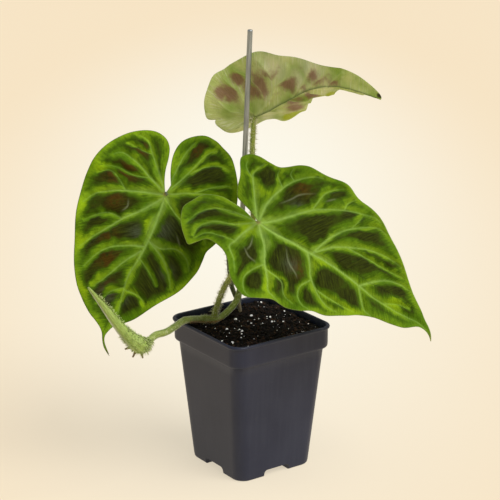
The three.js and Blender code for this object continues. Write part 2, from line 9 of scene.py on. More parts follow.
import bpy
import numpy as np
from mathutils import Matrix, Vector


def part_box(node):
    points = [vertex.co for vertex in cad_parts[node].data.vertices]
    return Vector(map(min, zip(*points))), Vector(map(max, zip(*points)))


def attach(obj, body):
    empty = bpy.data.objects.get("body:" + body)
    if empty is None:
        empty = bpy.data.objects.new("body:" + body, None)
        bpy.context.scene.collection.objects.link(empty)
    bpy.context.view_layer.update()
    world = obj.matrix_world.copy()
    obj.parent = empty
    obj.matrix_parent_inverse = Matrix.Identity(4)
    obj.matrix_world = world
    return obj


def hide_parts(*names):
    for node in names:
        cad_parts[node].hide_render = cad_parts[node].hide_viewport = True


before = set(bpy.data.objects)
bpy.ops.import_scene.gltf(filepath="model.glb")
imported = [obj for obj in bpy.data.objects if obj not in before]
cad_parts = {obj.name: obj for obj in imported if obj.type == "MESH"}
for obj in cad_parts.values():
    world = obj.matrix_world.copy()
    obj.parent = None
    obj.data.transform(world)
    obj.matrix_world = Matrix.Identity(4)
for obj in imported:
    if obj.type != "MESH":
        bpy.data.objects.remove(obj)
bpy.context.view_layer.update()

MM = 0.001
PLANT_TURN = np.radians(54.6)
POT_MIDDLE = np.mean(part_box("pot"), axis=0) * [1, 1, 0]

# The pot
POT_WIDTH = 102.0
POT_HEIGHT = 127.0
BAND_HEIGHT = 20.0
BAND_WIDTH = 100.0
WALL_TOP_WIDTH = 94.0
POT_BASE_WIDTH = 76.0
CORNER_RADIUS = 11.6
CORNER_TAPER = 0.04
POT_WALL = 1.5
FLOOR_TOP = 7.0
FOOT_HEIGHT = 4.0
ARCH_WIDTH = 26.0
ARCH_HEIGHT = 5.8
ARCH_CORNER = 3.2
DRAIN_DIAMETER = 9.0
DRAIN_OFFSET = 19.0

# The soil, the stake and the stalks
SOIL_HALF = 47.3
SOIL_SEED = 7
SOIL_GRID = 132
CRUMBS, PERLITE, FIBRES = 3600, 98, 260
CRUMB_SIZES, PERLITE_SIZES = (0.45, 1.45), (0.35, 1.15)  # the smallest, and how much more the largest is
SOIL_LEVEL = 118.0
SOIL_UNDER_STEM = 117.5
SOIL_MOUND = 1.28
SOIL_BACK_RISE = 5.0
SOIL_RIGHT_RISE = 4.4
SOIL_BACK_REACH, SOIL_RIGHT_REACH = 46, 44
STEM_BED = 4.5
GRAIN_INSET = 2.2
GRAIN_CLEAR_OF_STEM, GRAIN_CLEAR_OF_FEET = 4.6, 4.2
FEET = [[-10, 41], [-8.5, 34.5], [-30.5, 15]]  # where the stake, the left stalk and the stem's joint stand
SOIL_LUMPS = [(0.9, 9.0), (1.1, 3.6), (0.7, 1.8), (0.25, 0.9)]  # each (height, size)
SOIL_SKIRT = [(109.5, 47.0), (104.0, 44.4), (FLOOR_TOP + 0.4, 36.3)]  # each (height, half width)
STAKE_DIAMETER = 4.4
STAKE_TOP = [-0.5, 36, 368]
STAKE_FOOT = [-12.2, 41.3, 85]
STAKE_CHAMFER, STAKE_CHAMFER_START = 0.12, 0.9985  # shares of its radius and its length
STEM_RADIUS = 3.0
PETIOLE_RADIUS = 2.3
SHOOT_RADIUS = 5.8
SHOOT_SWELL = 1.2
SHOOT_TIP_RADIUS = 0.7
SHOOT_GROOVES, GROOVE_TWIST, GROOVE_SHARE = 9, 4, 0.045
STUB_RADIUS, STUB_TAPER = 1.5, 0.8

STEM_LINE = [[-84, -53, 127.5], [-78, -44.5, 130], [-70, -39, 130.6], [-63, -26.5, 130.9],
             [-57, -14, 131.1], [-52, -7, 130], [-46, 4, 126.5], [-39, 12.5, 123.4], [-31, 14, 122.4],
             [-25, 18.5, 123.5], [-18, 24, 128], [-12.5, 28.5, 134], [-9.3, 31, 143], [-6.2, 31, 154],
             [-3.2, 30, 168], [-1.5, 29, 180]]
RIGHT_PETIOLE_LINE = [[-31.5, 14.2, 122.5], [-30.2, 14, 130], [-27.9, 11.5, 138], [-24.7, 8, 148],
                      [-21, 3, 157.5], [-14.7, -3, 171], [-6.2, -8.5, 189], [1, -16, 206]]
LEFT_PETIOLE_LINE = [[-7.8, 34.5, 98], [-8.7, 34.5, 119], [-10.5, 35, 129.5], [-13.4, 35.5, 136.5],
                     [-17, 37, 147.5], [-18.2, 37.5, 161], [-20, 37, 177], [-28, 37, 191],
                     [-43, 38, 206.5], [-58, 38, 219], [-67, 34, 226.5]]
TOP_PETIOLE_LINE = [[-1.5, 29, 178], [1, 31.5, 196.5], [2.2, 34, 209.5], [1.7, 41, 238],
                    [1.4, 47, 261], [2.2, 54, 281]]
SHOOT_LINE = [[-82.8, -51.6, 128], [-89, -58, 126.2], [-97, -61, 132.5], [-107.5, -63.5, 146],
              [-119, -66, 163.5], [-130, -68, 179.5]]
STUB_START = [-91, -57, 127]
STUB_ENDS = [[-102.5, -60, 123.5], [-96.2, -60, 116.5], [-88, -59, 115.4], [-82.5, -58, 121]]
COMB_SIDE = np.array([0.79, 0, 0.61])
NODE = np.array([-31, 15, 122.4])
NODE_UNDERSIDE = np.array([0.3, -0.75, -0.6])
NODE_BROWN_REACH = 17
PETIOLE_SINK = 1.2  # how far under the upper face a leaf's stalk ends

# The leaves. facing, tilt and lean are degrees: where the upper face looks, how far up, and how the tip
# leans. A vein is (strength, points), from its thick end to its thin one. streaks are grey scars. Marks
# are [across, along, size]. On the upper face, dark marks are patches, with brown spots and spots of
# painted grey-blue sheen in them, and bright ones are yellower. On the underside, purple marks are
# patches, and the tissue is yellow at scallop and whiter at pale.
LEAVES = {
    "left": dict(
        joint=[-72, 25, 231], facing=-6, tilt=36, lean=-20,
        length=140, half_width=70, fold_left=0.1, fold_right=0.1, arch=9, droop=12, lobe_droop=6, bow=0,
        waves=9, wave_height=1.6, wave_start=0.5,
        outline=[[0, 0], [5, -10], [8.5, -20], [11, -31], [15, -41], [22, -48], [33, -51], [45, -48],
                 [56, -40], [65, -26], [70, -10], [71, 4], [70, 18], [66, 36], [59, 56], [50, 77], [39, 97],
                 [29, 108], [18, 117], [10, 121.5], [4.5, 125], [1, 128.5], [-0.8, 132], [-3, 136],
                 [-6.5, 140], [-13, 144], [-7.6, 138.6], [-4.4, 135], [-2.6, 131], [-3, 127], [-5.5, 121],
                 [-11, 116], [-20, 108], [-30, 95], [-40, 81], [-48, 68], [-53, 54], [-53, 42], [-53, 34],
                 [-57, 26], [-62, 14], [-64, 2], [-61, -10], [-57, -22], [-52, -33], [-44, -45], [-36, -54],
                 [-26, -60], [-16, -65], [-5, -66], [4, -59], [9, -49], [9, -36], [5, -22], [-1, -9]],
        veins=[
            (1.0, [[0, 0], [-2, 16], [-3, 33], [-3, 45], [-2, 60], [0, 71], [0, 81], [-2, 94], [-4, 107],
                   [-4, 125]]),
            (0.8, [[1, -1], [18, -9], [33, -17], [50, -22], [57, -18]]),
            (0.7, [[1, -2], [14, -17], [26, -30], [36, -41], [46, -43]]),
            (0.9, [[1, 1], [15, 4], [32, 9], [47, 15], [58, 22], [63, 31]]),
            (0.9, [[0, 3], [13, 20], [25, 33], [36, 48], [43, 57], [49, 68]]),
            (0.5, [[25, 33], [36, 32], [46, 36], [55, 45]]),
            (0.8, [[-2, 48], [10, 52], [24, 59], [33, 69], [39, 83]]),
            (0.8, [[-1, 53], [9, 67], [16, 81], [24, 95]]),
            (0.7, [[-1, 2], [-11, 10], [-22, 16], [-41, 20], [-50, 28]]),
            (0.8, [[-3, 42], [-15, 45], [-28, 41], [-39, 45], [-46, 54]]),
            (0.8, [[-3, 42], [-14, 48], [-24, 55], [-33, 66], [-37, 73]]),
            (0.4, [[-4, 60], [-16, 68], [-25, 76]]),
            (0.5, [[-2, 88], [-16, 89], [-23, 94]]),
            (0.4, [[-1, 86], [9, 94], [15, 106]]),
            (0.7, [[-1, -3], [-7, -18], [-12, -33], [-16, -49], [-23, -56]]),
            (0.6, [[-1, -3], [1, -28], [1, -45], [-1, -56]]),
            (0.7, [[-2, -1], [-17, -8], [-29, -12], [-48, -16], [-56, -12]]),
            (0.5, [[-12, -26], [-19, -35], [-30, -42], [-41, -41]]),
            (0.5, [[-22, -10], [-33, -20], [-44, -27], [-50, -26]]),
            (0.5, [[33, 9], [42, 2], [53, -3], [62, 2]]),
            (0.4, [[19, -9], [33, -6], [47, -8], [60, -6]]),
            (0.4, [[26, -30], [36, -30], [50, -33]]),
        ],
        streaks=[[[27, 16], [25, 22], [28, 28]], [[-24, 30], [-31, 38]]],
        margin_reach=9, plain_share=0.76, tip=[-13, 143],
        dark=[[35, -30, 8], [37, -7, 10], [48, 1, 8], [-8, -48, 9], [-26, -26, 11], [34, 20, 9], [24, 24, 9],
              [45, 40, 7], [41, 59, 7], [22, 44, 12], [32, 52, 8], [-20, 30, 12], [-23, 12, 8], [22, 69, 9],
              [26, 92, 8], [-15, 65, 9], [-33, 62, 9], [10, 98, 9], [-8, 100, 8], [-18, 92, 9],
              [-28, 75, 8], [12, 80, 6]],
        brown=[[37, -7, 11], [48, 1, 8], [22, 70, 10], [38, 20, 9], [12, 92, 7], [30, 52, 8], [-9, -48, 8],
               [35, -30, 7]],
        painted_sheen=[[8, 40, 7], [-12, 31, 9], [10, 98, 8], [-4, 97, 5], [-30, 62, 6]],
        bright=[[5, 29, 6], [29, 101, 7], [51, 63, 7], [61, 34, 6], [27, 86, 4], [63, -2, 6], [-22, 94, 5]],
        purple=[[37, -7, 12], [28, 12, 10], [22, 66, 11], [38, 34, 10], [-22, 30, 10], [-30, 60, 8],
                [-26, -26, 12], [-8, -46, 8], [34, -30, 8]]),
    "right": dict(
        joint=[6, -28, 222], facing=8, tilt=44, lean=58,
        length=168, half_width=70, fold_left=0.12, fold_right=0.12, arch=10, droop=22, lobe_droop=8,
        bow=0, waves=11, wave_height=2.2, wave_start=0,
        outline=[[0, 0], [-1, -5], [-6, -16], [-9, -28], [-11, -38], [-10, -49], [-7, -55], [-1, -59],
                 [8, -63], [19, -60], [28, -55], [37, -47], [41, -42], [37, -37], [32, -31], [32, -24],
                 [36, -14], [44, -6], [54, 1], [61, 12], [64, 21], [61, 31], [56, 42], [56, 54], [54, 65],
                 [48, 74], [45, 86], [39, 98], [31, 107], [26, 118], [24, 132], [21, 144], [14, 153],
                 [13, 159], [15, 164], [19, 168], [14, 166], [9, 162], [4, 156], [-3, 149], [-12, 138],
                 [-22, 127], [-33, 115], [-42, 106], [-50, 95], [-57, 83], [-62, 73], [-64, 61], [-69, 50],
                 [-70, 38], [-69, 18], [-65, 8], [-59, -1], [-56, -8], [-57, -17], [-59, -27], [-58, -35],
                 [-52, -40], [-46, -39], [-38, -35], [-31, -32], [-23, -30], [-15, -26], [-11, -19],
                 [-7, -10], [-3, -4]],
        veins=[
            (1.0, [[0, 0], [1, 15], [1, 30], [2, 47], [2, 61], [4, 80], [7, 97], [10, 114], [10, 133],
                   [9, 151], [12, 160]]),
            (1.0, [[1, 1], [16, 14], [30, 21], [41, 29], [51, 35], [55, 46]]),
            (0.6, [[31, 21], [41, 14], [50, 12], [59, 17], [63, 25]]),
            (0.6, [[34, 24], [37, 39], [46, 46], [50, 56]]),
            (0.9, [[1, 0], [13, -6], [23, -9], [30, -11], [39, -3], [49, 3]]),
            (0.6, [[1, -1], [9, -16], [13, -33], [22, -42], [32, -42]]),
            (0.5, [[0, -3], [-1, -26], [2, -41], [11, -50], [23, -53]]),
            (0.4, [[23, -9], [24, -22], [26, -34], [34, -40]]),
            (0.8, [[2, 47], [13, 54], [22, 59], [32, 70], [37, 80], [39, 90]]),
            (0.6, [[24, 60], [33, 55], [42, 57], [48, 64], [49, 71]]),
            (0.5, [[29, 66], [31, 87], [31, 103]]),
            (0.7, [[7, 96], [17, 103], [24, 109], [26, 117]]),
            (0.9, [[-1, -1], [-19, -12], [-36, -22], [-43, -24], [-54, -20]]),
            (0.5, [[-36, -22], [-44, -32], [-52, -34]]),
            (0.9, [[-1, 0], [-21, -1], [-37, 3], [-50, 9], [-61, 19], [-66, 29]]),
            (0.5, [[-40, 3], [-48, -5], [-53, -6]]),
            (0.5, [[-50, 10], [-54, 4], [-60, 4]]),
            (0.9, [[-1, 2], [-14, 16], [-25, 26], [-35, 36], [-43, 49], [-50, 63], [-54, 78], [-52, 89]]),
            (0.6, [[-35, 34], [-51, 36], [-60, 41], [-65, 49]]),
            (0.5, [[-47, 57], [-55, 57], [-62, 62]]),
            (0.8, [[1, 51], [-15, 56], [-29, 64], [-40, 75], [-47, 87], [-46, 97]]),
            (0.8, [[1, 51], [-11, 62], [-19, 75], [-26, 91], [-28, 106], [-25, 121]]),
            (0.5, [[-18, 75], [-18, 95], [-18, 111], [-19, 125]]),
            (0.8, [[7, 96], [-3, 105], [-11, 116], [-13, 127], [-12, 138]]),
            (0.4, [[10, 120], [4, 130], [1, 142]]),
            (0.4, [[-30, 65], [-38, 70], [-52, 73]]),
        ],
        streaks=[[[-23, 8], [-31, 14], [-40, 20], [-47, 30]], [[9, 30], [20, 37], [26, 46], [30, 50]],
                 [[14, 2], [22, 4], [28, 3]], [[26, 0], [32, 7], [34, 15]], [[-45, 40], [-52, 47]]],
        margin_reach=8, plain_share=0.7, tip=[19, 168],
        dark=[[-42, -9, 9], [-52, -19, 6], [-42, -26, 6], [-55, 6, 8], [-37, 18, 12], [-66, 25, 6],
              [-62, 46, 7], [-24, 42, 12], [-46, 64, 9], [-8, 42, 11], [-19, 56, 9], [-35, 78, 9],
              [-18, 90, 9], [30, 9, 9], [19, 31, 11], [47, 20, 8], [46, 6, 7], [39, 42, 9], [20, 70, 9],
              [41, 67, 7], [-2, 75, 9], [-20, 111, 8], [-8, 127, 7], [8, 117, 7], [23, 95, 8], [5, 140, 6],
              [20, -24, 9], [11, -42, 9], [28, -34, 7], [-23, 27, 10]],
        brown=[[-47, 18, 8], [20, 48, 8]], painted_sheen=[[-28, 22, 5], [22, 40, 6]],
        bright=[[-8, 40, 7], [8, 62, 7], [4, 128, 7], [10, -4, 7], [-30, -8, 6], [48, 30, 7], [30, 100, 7]],
        purple=[[-30, 24, 13], [-30, 48, 10], [22, 38, 12], [20, 76, 9], [-38, -12, 7], [-12, 84, 9],
                [48, 22, 8], [12, -28, 7]]),
    "top": dict(
        joint=[2.8, 60, 289.5], facing=176, tilt=31, lean=-123,
        length=125, half_width=50, fold_left=0.42, fold_right=0.66, arch=3, droop=46, lobe_droop=8,
        bow=16, waves=9, wave_height=1.6, wave_start=0.4,
        outline=[[0, 0], [4, -8], [8, -19], [13, -30], [18, -36], [25, -34], [33, -29], [40, -21],
                 [46, -11], [46, 0], [48, 9], [51, 22], [51, 34], [48, 49], [44, 62], [39, 74], [35, 88],
                 [32, 102], [29.5, 110], [22, 118], [12, 124], [3, 128.5], [-3, 125.5], [-8, 119],
                 [-12, 110], [-13, 100], [-8, 96], [-2, 88], [-6, 79], [-13, 72], [-14, 64], [-9, 57],
                 [-16, 46], [-25, 36], [-29, 29], [-32, 19], [-29, 11], [-21, 7], [-15, 0], [-14, -8],
                 [-11, -16], [-6, -23], [0, -28], [6, -31], [10.5, -32.5], [13, -30], [8, -19], [4, -8],
                 [0, 0]],
        veins=[
            (1.0, [[0, 0], [3, 21], [7, 41], [14, 66], [16, 90], [12, 107], [1, 124]]),
            (0.8, [[1, -1], [6, -7], [15, -14], [30, -19]]),
            (0.6, [[1, 0], [14, 1], [28, 2], [40, -3]]),
            (0.9, [[1, 2], [11, 23], [21, 35], [33, 38], [44, 35]]),
            (0.6, [[21, 35], [27, 50], [36, 58]]),
            (0.4, [[9, 18], [22, 21], [36, 16], [45, 8]]),
            (0.7, [[8, 44], [22, 66], [33, 78]]),
            (0.6, [[14, 64], [24, 82], [31, 94]]),
            (0.6, [[16, 84], [23, 97], [27, 107]]),
            (0.7, [[0, 1], [-12, 12], [-22, 15], [-29, 14]]),
            (0.6, [[3, 16], [-8, 28], [-20, 34]]),
            (0.6, [[7, 40], [-2, 50], [-9, 53]]),
            (0.6, [[13, 62], [4, 68], [-9, 70]]),
            (0.6, [[16, 86], [8, 92], [-6, 106]]),
            (0.5, [[0, -1], [-2, -12], [3, -27]]),
        ],
        margin_reach=8, plain_share=0.7, tip=[2, 127.5],
        dark=[[21, 20, 12], [30, -8, 10], [36, 8, 8], [17, 50, 10], [22, 78, 10], [3, 42, 10],
              [-14, 32, 10], [31, 40, 8], [2, 60, 8], [0, 104, 8]],
        scallop=[[-27, 20, 8], [-30, 28, 8], [-12, 74, 8], [-11, 64, 6]],
        pale=[[36, 46, 14], [31, 80, 13], [24, 62, 9], [-6, 10, 8], [-4, 68, 7]],
        purple=[[21, 20, 13], [27, -5, 8], [36, 8, 7], [31, -14, 6], [17, 50, 10], [22, 78, 10],
                [18, 92, 8], [3, 42, 10], [-12, 34, 8], [31, 36, 6], [0, 60, 8], [14, 62, 7]]),
}


def spline(points, per_span=8):
    """A smooth line through the points: on each span the cubic with (next - previous) / 2 as its slope at
    both ends, the first and last points doubled."""
    points = np.array(points, float)
    padded = np.vstack([points[:1], points, points[-1:]])
    t = np.linspace(0, 1, per_span, endpoint=False)[:, None]
    before, start, end, after = (padded[i:len(points) - 1 + i, None] for i in range(4))
    slope_in, slope_out = (end - before) / 2, (after - start) / 2
    curve = (start * (2 * t**3 - 3 * t**2 + 1) + end * (3 * t**2 - 2 * t**3)
             + slope_in * (t**3 - 2 * t**2 + t) + slope_out * (t**3 - t**2))
    return np.vstack([curve.reshape(-1, points.shape[1]), points[-1:]])


def even_line(points, steps):
    """The smooth line through the points, cut into equal lengths: returns places and unit directions."""
    fine = spline(points, 30)
    run = np.concatenate([[0], np.cumsum(np.linalg.norm(np.diff(fine, axis=0), axis=1))])
    at = np.linspace(0, run[-1], steps + 1)
    line = np.stack([np.interp(at, run, fine[:, k]) for k in range(fine.shape[1])], axis=1)
    direction = np.gradient(line, axis=0)
    return line, direction / np.linalg.norm(direction, axis=1, keepdims=True)


def place_plant(points):
    """Plant millimetres to the part's metres: turned by PLANT_TURN about Z and moved to the pot's middle."""
    c, s = np.cos(PLANT_TURN), np.sin(PLANT_TURN)
    turn = np.array([[c, -s, 0], [s, c, 0], [0, 0, 1]])
    return points @ turn.T * MM + POT_MIDDLE


def unit(vectors):
    """Each vector divided by its length."""
    return vectors / np.linalg.norm(vectors, axis=-1, keepdims=True)


def smoothstep(x, low, high):
    """0 under low, 1 over high, and t·t·(3 - 2t) between, with t the share of the way."""
    t = np.clip((x - low) / (high - low), 0, 1)
    return t * t * (3 - 2 * t)


def bell(distance, width):
    """1 at no distance, exp(-1) at the width, soon nothing beyond."""
    return np.exp(-((distance / width) ** 2))


LATTICE = 61


def value_noise(x, y, size, rng):
    """Random values between -1 and 1 on a square lattice of that size, blended smoothly between. It
    repeats after LATTICE squares."""
    u, v = x / size, y / size
    i, j = np.floor(u).astype(int), np.floor(v).astype(int)
    table = rng.uniform(-1, 1, (LATTICE, LATTICE))
    right, up = smoothstep(u - i, 0, 1), smoothstep(v - j, 0, 1)
    pick = lambda a, b: table[(i + a) % LATTICE, (j + b) % LATTICE]
    lower, upper = (pick(0, b) * (1 - right) + pick(1, b) * right for b in (0, 1))
    return lower * (1 - up) + upper * up


def layered_noise(x, y, layers, rng):
    """The sum of value_noise over the (height, size) layers."""
    return sum(height * value_noise(x, y, size, rng) for height, size in layers)


def grid_faces(rows, columns, wrap=False):
    """The four-cornered faces of a grid of points, rows by columns. wrap joins its last column to its
    first."""
    i, j = np.meshgrid(np.arange(rows - 1), np.arange(columns if wrap else columns - 1), indexing="ij")
    start, j = i.ravel() * columns, j.ravel()
    after = (j + 1) % columns
    return np.stack([start + j, start + after, start + columns + after, start + columns + j], 1)


def fan(pole, ring, turn_over=False):
    """Three-cornered faces from one pole point to a closed ring of points."""
    after = np.roll(ring, -1)
    order = (after, ring) if turn_over else (ring, after)
    return np.stack([np.full(len(ring), pole), *order], 1)


def closed_loft(rings, poles):
    """The points and faces of a skin over a row of closed rings (rings, points, 3), which a pole point
    closes at each end."""
    rows, columns, _ = rings.shape
    pole, ring = rows * columns, np.arange(columns)
    faces = [grid_faces(rows, columns, wrap=True), fan(pole, ring, True),
             fan(pole + 1, ring + (rows - 1) * columns)]
    return np.vstack([rings.reshape(-1, 3), poles]), faces


def add_object(name, data):
    """An object of that data, in the scene."""
    new = bpy.data.objects.new(name, data)
    bpy.context.collection.objects.link(new)
    return new


def make_piece(name, points, faces, materials, nodes=(), attributes=(), material_index=None,
               smooth=True):
    """A mesh object of these points (metres) and faces (arrays with one row for each face), which rides
    on the part. attributes maps a name to one number or one vector for each point, and material_index
    says which of the materials each face has."""
    mesh = bpy.data.meshes.new(name)
    mesh.vertices.add(len(points))
    mesh.vertices.foreach_set("co", np.asarray(points, np.float32).ravel())
    corners = np.concatenate([part.ravel() for part in faces]).astype(np.int32)
    sizes = np.concatenate([np.full(len(part), part.shape[1]) for part in faces])
    mesh.loops.add(len(corners))
    mesh.loops.foreach_set("vertex_index", corners)
    mesh.polygons.add(len(sizes))
    mesh.polygons.foreach_set("loop_start", np.concatenate([[0], np.cumsum(sizes)[:-1]]).astype(np.int32))
    mesh.polygons.foreach_set("use_smooth", np.full(len(sizes), smooth))
    for material in materials:
        mesh.materials.append(material)
    if material_index is not None:
        mesh.polygons.foreach_set("material_index", material_index.astype(np.int32))
    for key, values in dict(attributes).items():
        if values.ndim == 1:
            mesh.attributes.new(key, "FLOAT", "POINT").data.foreach_set("value", values.astype(np.float32))
        else:
            data = mesh.attributes.new(key, "FLOAT_VECTOR", "POINT").data
            data.foreach_set("vector", values.astype(np.float32).ravel())
    mesh.update(calc_edges=True)
    piece = add_object(name, mesh)
    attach(piece, "root")
    if nodes:
        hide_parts(*nodes)
    return piece


# Materials

def rgb(red, green, blue):
    """A colour seen on screen (0 to 255 each) as the surface colour of the shader."""
    screen = np.array([red, green, blue]) / 255
    linear = np.where(screen <= 0.04045, screen / 12.92, ((screen + 0.055) / 1.055) ** 2.4)
    return (*linear.tolist(), 1.0)


class Value:
    """A number or colour that varies over a surface, as a node's output. Arithmetic on it adds nodes."""

    def __init__(self, finish, socket):
        self.finish = finish
        self.socket = socket

    def math(self, operation, other):
        return self.finish.value("ShaderNodeMath", {"operation": operation}, {0: self, 1: other})

    def __add__(self, other):
        return self.math("ADD", other)

    def __sub__(self, other):
        return self.math("SUBTRACT", other)

    def __mul__(self, other):
        return self.math("MULTIPLY", other)


class Finish:
    """One material with a Principled surface and its pattern nodes. It starts as one colour, and paint
    lays others over it. Colours are (red, green, blue) as seen on screen, or Values."""

    def __init__(self, name, colour, **plain):
        self.material = bpy.data.materials.new(name)
        self.material.use_nodes = True
        self.tree = self.material.node_tree
        self.surface = self.tree.nodes["Principled BSDF"].inputs
        self.painted = colour
        for socket, value in plain.items():
            self.surface[socket.replace("_", " ")].default_value = value

    def feed(self, socket, value):
        """Links a Value to the socket, or sets it to a plain value."""
        if isinstance(value, Value):
            self.tree.links.new(value.socket, socket)
        else:
            socket.default_value = value

    def value(self, kind, settings=(), inputs=(), output=0):
        """One output of a new node: its settings come first, then the values or links of its sockets."""
        node = self.tree.nodes.new(kind)
        for key, setting in dict(settings).items():
            setattr(node, key, setting)
        for key, value in dict(inputs).items():
            self.feed(node.inputs[key], value)
        return Value(self, node.outputs[output])

    def place(self):
        """Where the point is, in metres in the part's frame."""
        return self.value("ShaderNodeTexCoord", output="Object")

    def field(self, name, output="Fac"):
        """The number that the mesh holds under that name, or its vector where output says so."""
        return self.value("ShaderNodeAttribute", {"attribute_name": name}, output=output)

    def noise(self, vector, scale, detail=3.0, roughness=0.5):
        inputs = {"Vector": vector, "Scale": scale, "Detail": detail, "Roughness": roughness}
        return self.value("ShaderNodeTexNoise", {}, inputs)

    def streaks(self, vector, stretch, *noise):
        """Noise over the vector with each of its parts multiplied: long where stretch is small."""
        stretched = self.value("ShaderNodeMapping", {}, {"Vector": vector, "Scale": stretch})
        return self.noise(stretched, *noise)

    def step(self, value, low, high):
        """0 under low, 1 over high, smooth between."""
        inputs = {"Value": value, "From Min": low, "From Max": high}
        return self.value("ShaderNodeMapRange", {"interpolation_type": "SMOOTHSTEP"}, inputs)

    def mix(self, share, first, second):
        """The first colour where share is 0, the second where it is 1."""
        first, second = (c if isinstance(c, Value) else rgb(*c) for c in (first, second))
        settings = {"data_type": "RGBA", "clamp_factor": True}
        return self.value("ShaderNodeMix", settings, {0: share, 6: first, 7: second}, 2)

    def paint(self, *layers):
        """Lays each (share, colour) over the colour so far."""
        for share, over in layers:
            self.painted = self.mix(share, self.painted, over)
        self.feed(self.surface["Base Color"], self.painted)

    def bump(self, height, distance, strength):
        """Relief by shading alone. The distance is in metres."""
        inputs = {"Height": height, "Distance": distance, "Strength": strength}
        self.feed(self.surface["Normal"], self.value("ShaderNodeBump", {}, inputs))


def velvet_upper(name, dark, light, vein, rim):
    """The upper face of a leaf: green beside the veins and the margin, dark patches between them with
    broken, feathered edges, pale vein lines, yellower spots, a few brown spots and some grey-blue ones
    of painted sheen in the patches, and a fine velvety grain."""
    f = Finish(name, dark, Roughness=0.7, Specular_IOR_Level=0.06, Sheen_Weight=0.07, Sheen_Roughness=0.35)
    place = f.place()
    fibres = f.streaks(f.field("grain", "Vector"), (6.5, 0.9, 1), 1.0, 4.0, 0.62)
    cloud = f.noise(place, 46.0, 2.0)
    mottle = f.noise(place, 210.0, 4.0, 0.6)
    velvet = f.noise(place, 1500.0, 2.0)
    halo, bright = f.field("halo"), f.field("bright")
    depth = f.field("between") + (mottle - 0.5) * 0.5 + (fibres - 0.5) * 0.9 + (cloud - 0.5) * 0.3
    depth = depth - bright * 0.4
    patch = f.mix(f.step(fibres, 0.3, 0.8), (32, 33, 4), (62, 72, 8))
    patch = f.mix(f.field("brown") * f.step(mottle, 0.25, 0.6) * 0.65, patch, (84, 50, 8))
    # Painted sheen: grey-blue laid over the dark patches at the marked spots, where the velvet catches the
    # light.
    patch = f.mix(f.field("painted_sheen") * f.step(fibres, 0.3, 0.6) * 0.5, patch, (84, 92, 76))
    f.paint((f.step(cloud, 0.3, 0.68), light),
            (halo * f.step(mottle, 0.3, 0.7) * 0.6, (138, 170, 36)),
            (bright * 0.6, (146, 176, 8)),
            (f.step(depth, 0.1, 0.62), (70, 100, 6)),
            (f.step(depth, 0.45, 1.12) * 0.97, patch),
            (f.step(velvet, 0.35, 0.75) * 0.2, (22, 34, 4)),
            (f.step(halo, 0.45, 1.0) * (fibres * 0.5 + 0.1), vein),
            (f.field("vein") * (mottle * 0.5 + 0.45), vein),
            (f.field("streak") * 0.4, (150, 158, 120)),
            (f.field("joint") * 0.8, (120, 74, 48)),
            (f.field("tip") * 0.8, (118, 104, 54)),
            (f.step(f.field("margin"), 0.035, 0.01) * 0.5, rim))
    f.bump(velvet * 0.3 + fibres * 1.5 + mottle * 1.5, 0.0008, 0.9)
    return f.material


def pale_under(name):
    """The underside: pale green with raised veins and a dark green painted shadow along the midrib, whiter
    and yellow in places, and dull purple-brown where the upper face has its dark patches, streaked along
    the flow of the tissue."""
    f = Finish(name, (146, 178, 66), Roughness=0.6, Sheen_Weight=0.05, Specular_IOR_Level=0.25)
    place = f.place()
    fibres = f.streaks(f.field("grain", "Vector"), (8.0, 0.6, 1), 1.0, 4.0, 0.65)
    cloud = f.noise(place, 45.0, 2.0)
    mottle = f.noise(place, 230.0, 4.0, 0.6)
    depth = f.field("purple") + f.field("between") * 0.35 + (mottle - 0.5) + (fibres - 0.5) * 0.8
    patch = f.step(depth - f.field("halo") * 0.35, 0.25, 1.15)
    f.paint((f.step(cloud, 0.3, 0.65), (206, 218, 138)),
            (f.step(fibres, 0.48, 0.72) * f.step(cloud, 0.3, 0.7) * 0.8, (242, 246, 214)),
            (f.field("pale") * (fibres * 0.7 + 0.1), (244, 244, 214)),
            (f.step(f.field("scallop"), 0.1, 0.5), (176, 192, 4)),
            (patch * 0.8, f.mix(fibres, (104, 56, 46), (164, 112, 104))),
            (f.field("vein") * 0.75, (208, 224, 150)),
            # Painted shadow: dark green along the midrib, as if cast by the raised rib.
            (f.field("midrib") * 0.85, (62, 92, 22)),
            (f.step(f.field("tip"), 0.75, 0.95) * 0.95, (48, 38, 20)))
    f.bump(fibres * 1.5 + mottle + f.noise(place, 1400.0, 2.0) * 0.3, 0.0009, 0.9)
    return f.material


def hairy_green(name, base, shade, pale, scale=160.0):
    """Stalk tissue: green streaked along its length, with paler flecks. Returns the finish, for more
    layers."""
    f = Finish(name, base, Roughness=0.55, Sheen_Weight=1.0, Sheen_Roughness=0.3, Specular_IOR_Level=0.3,
               Sheen_Tint=(0.95, 1.0, 0.85, 1.0))
    streak = f.streaks(f.field("along", "Vector"), (1.0, 7.0, 1.0), 1.2, 3.0)
    flecks = f.noise(f.place(), scale * 6, 2.0)
    f.paint((f.step(streak, 0.35, 0.7), shade), (f.step(flecks, 0.52, 0.7) * 0.5, pale))
    f.bump(flecks + streak, 0.0004, 0.6)
    return f


def stalk_finish():
    """Olive green."""
    return hairy_green("petiole_olive", (168, 182, 78), (118, 134, 48), (226, 228, 164)).material


def left_stalk_finish():
    """Duller than the others, and pale papery brown low down where it leaves the soil."""
    f = hairy_green("petiole_papery", (96, 104, 74), (70, 80, 58), (150, 156, 120))
    f.paint((f.step(f.field("share"), 0.3, 0.16) * 0.9, (158, 142, 116)))
    return f.material


def stem_finish():
    """Green with fine pale flecks, and orange-brown under the joint that lies on the soil."""
    f = hairy_green("stem_green", (150, 166, 80), (108, 126, 50), (208, 214, 166), 90.0)
    f.paint((f.field("joint_brown"), (190, 136, 70)))
    return f.material


def hair_finish(name, root, tip):
    """Bristles: one colour at the root, another at the tip."""
    f = Finish(name, root, Roughness=0.45, Specular_IOR_Level=0.4)
    f.paint((f.field("tip"), tip))
    return f.material


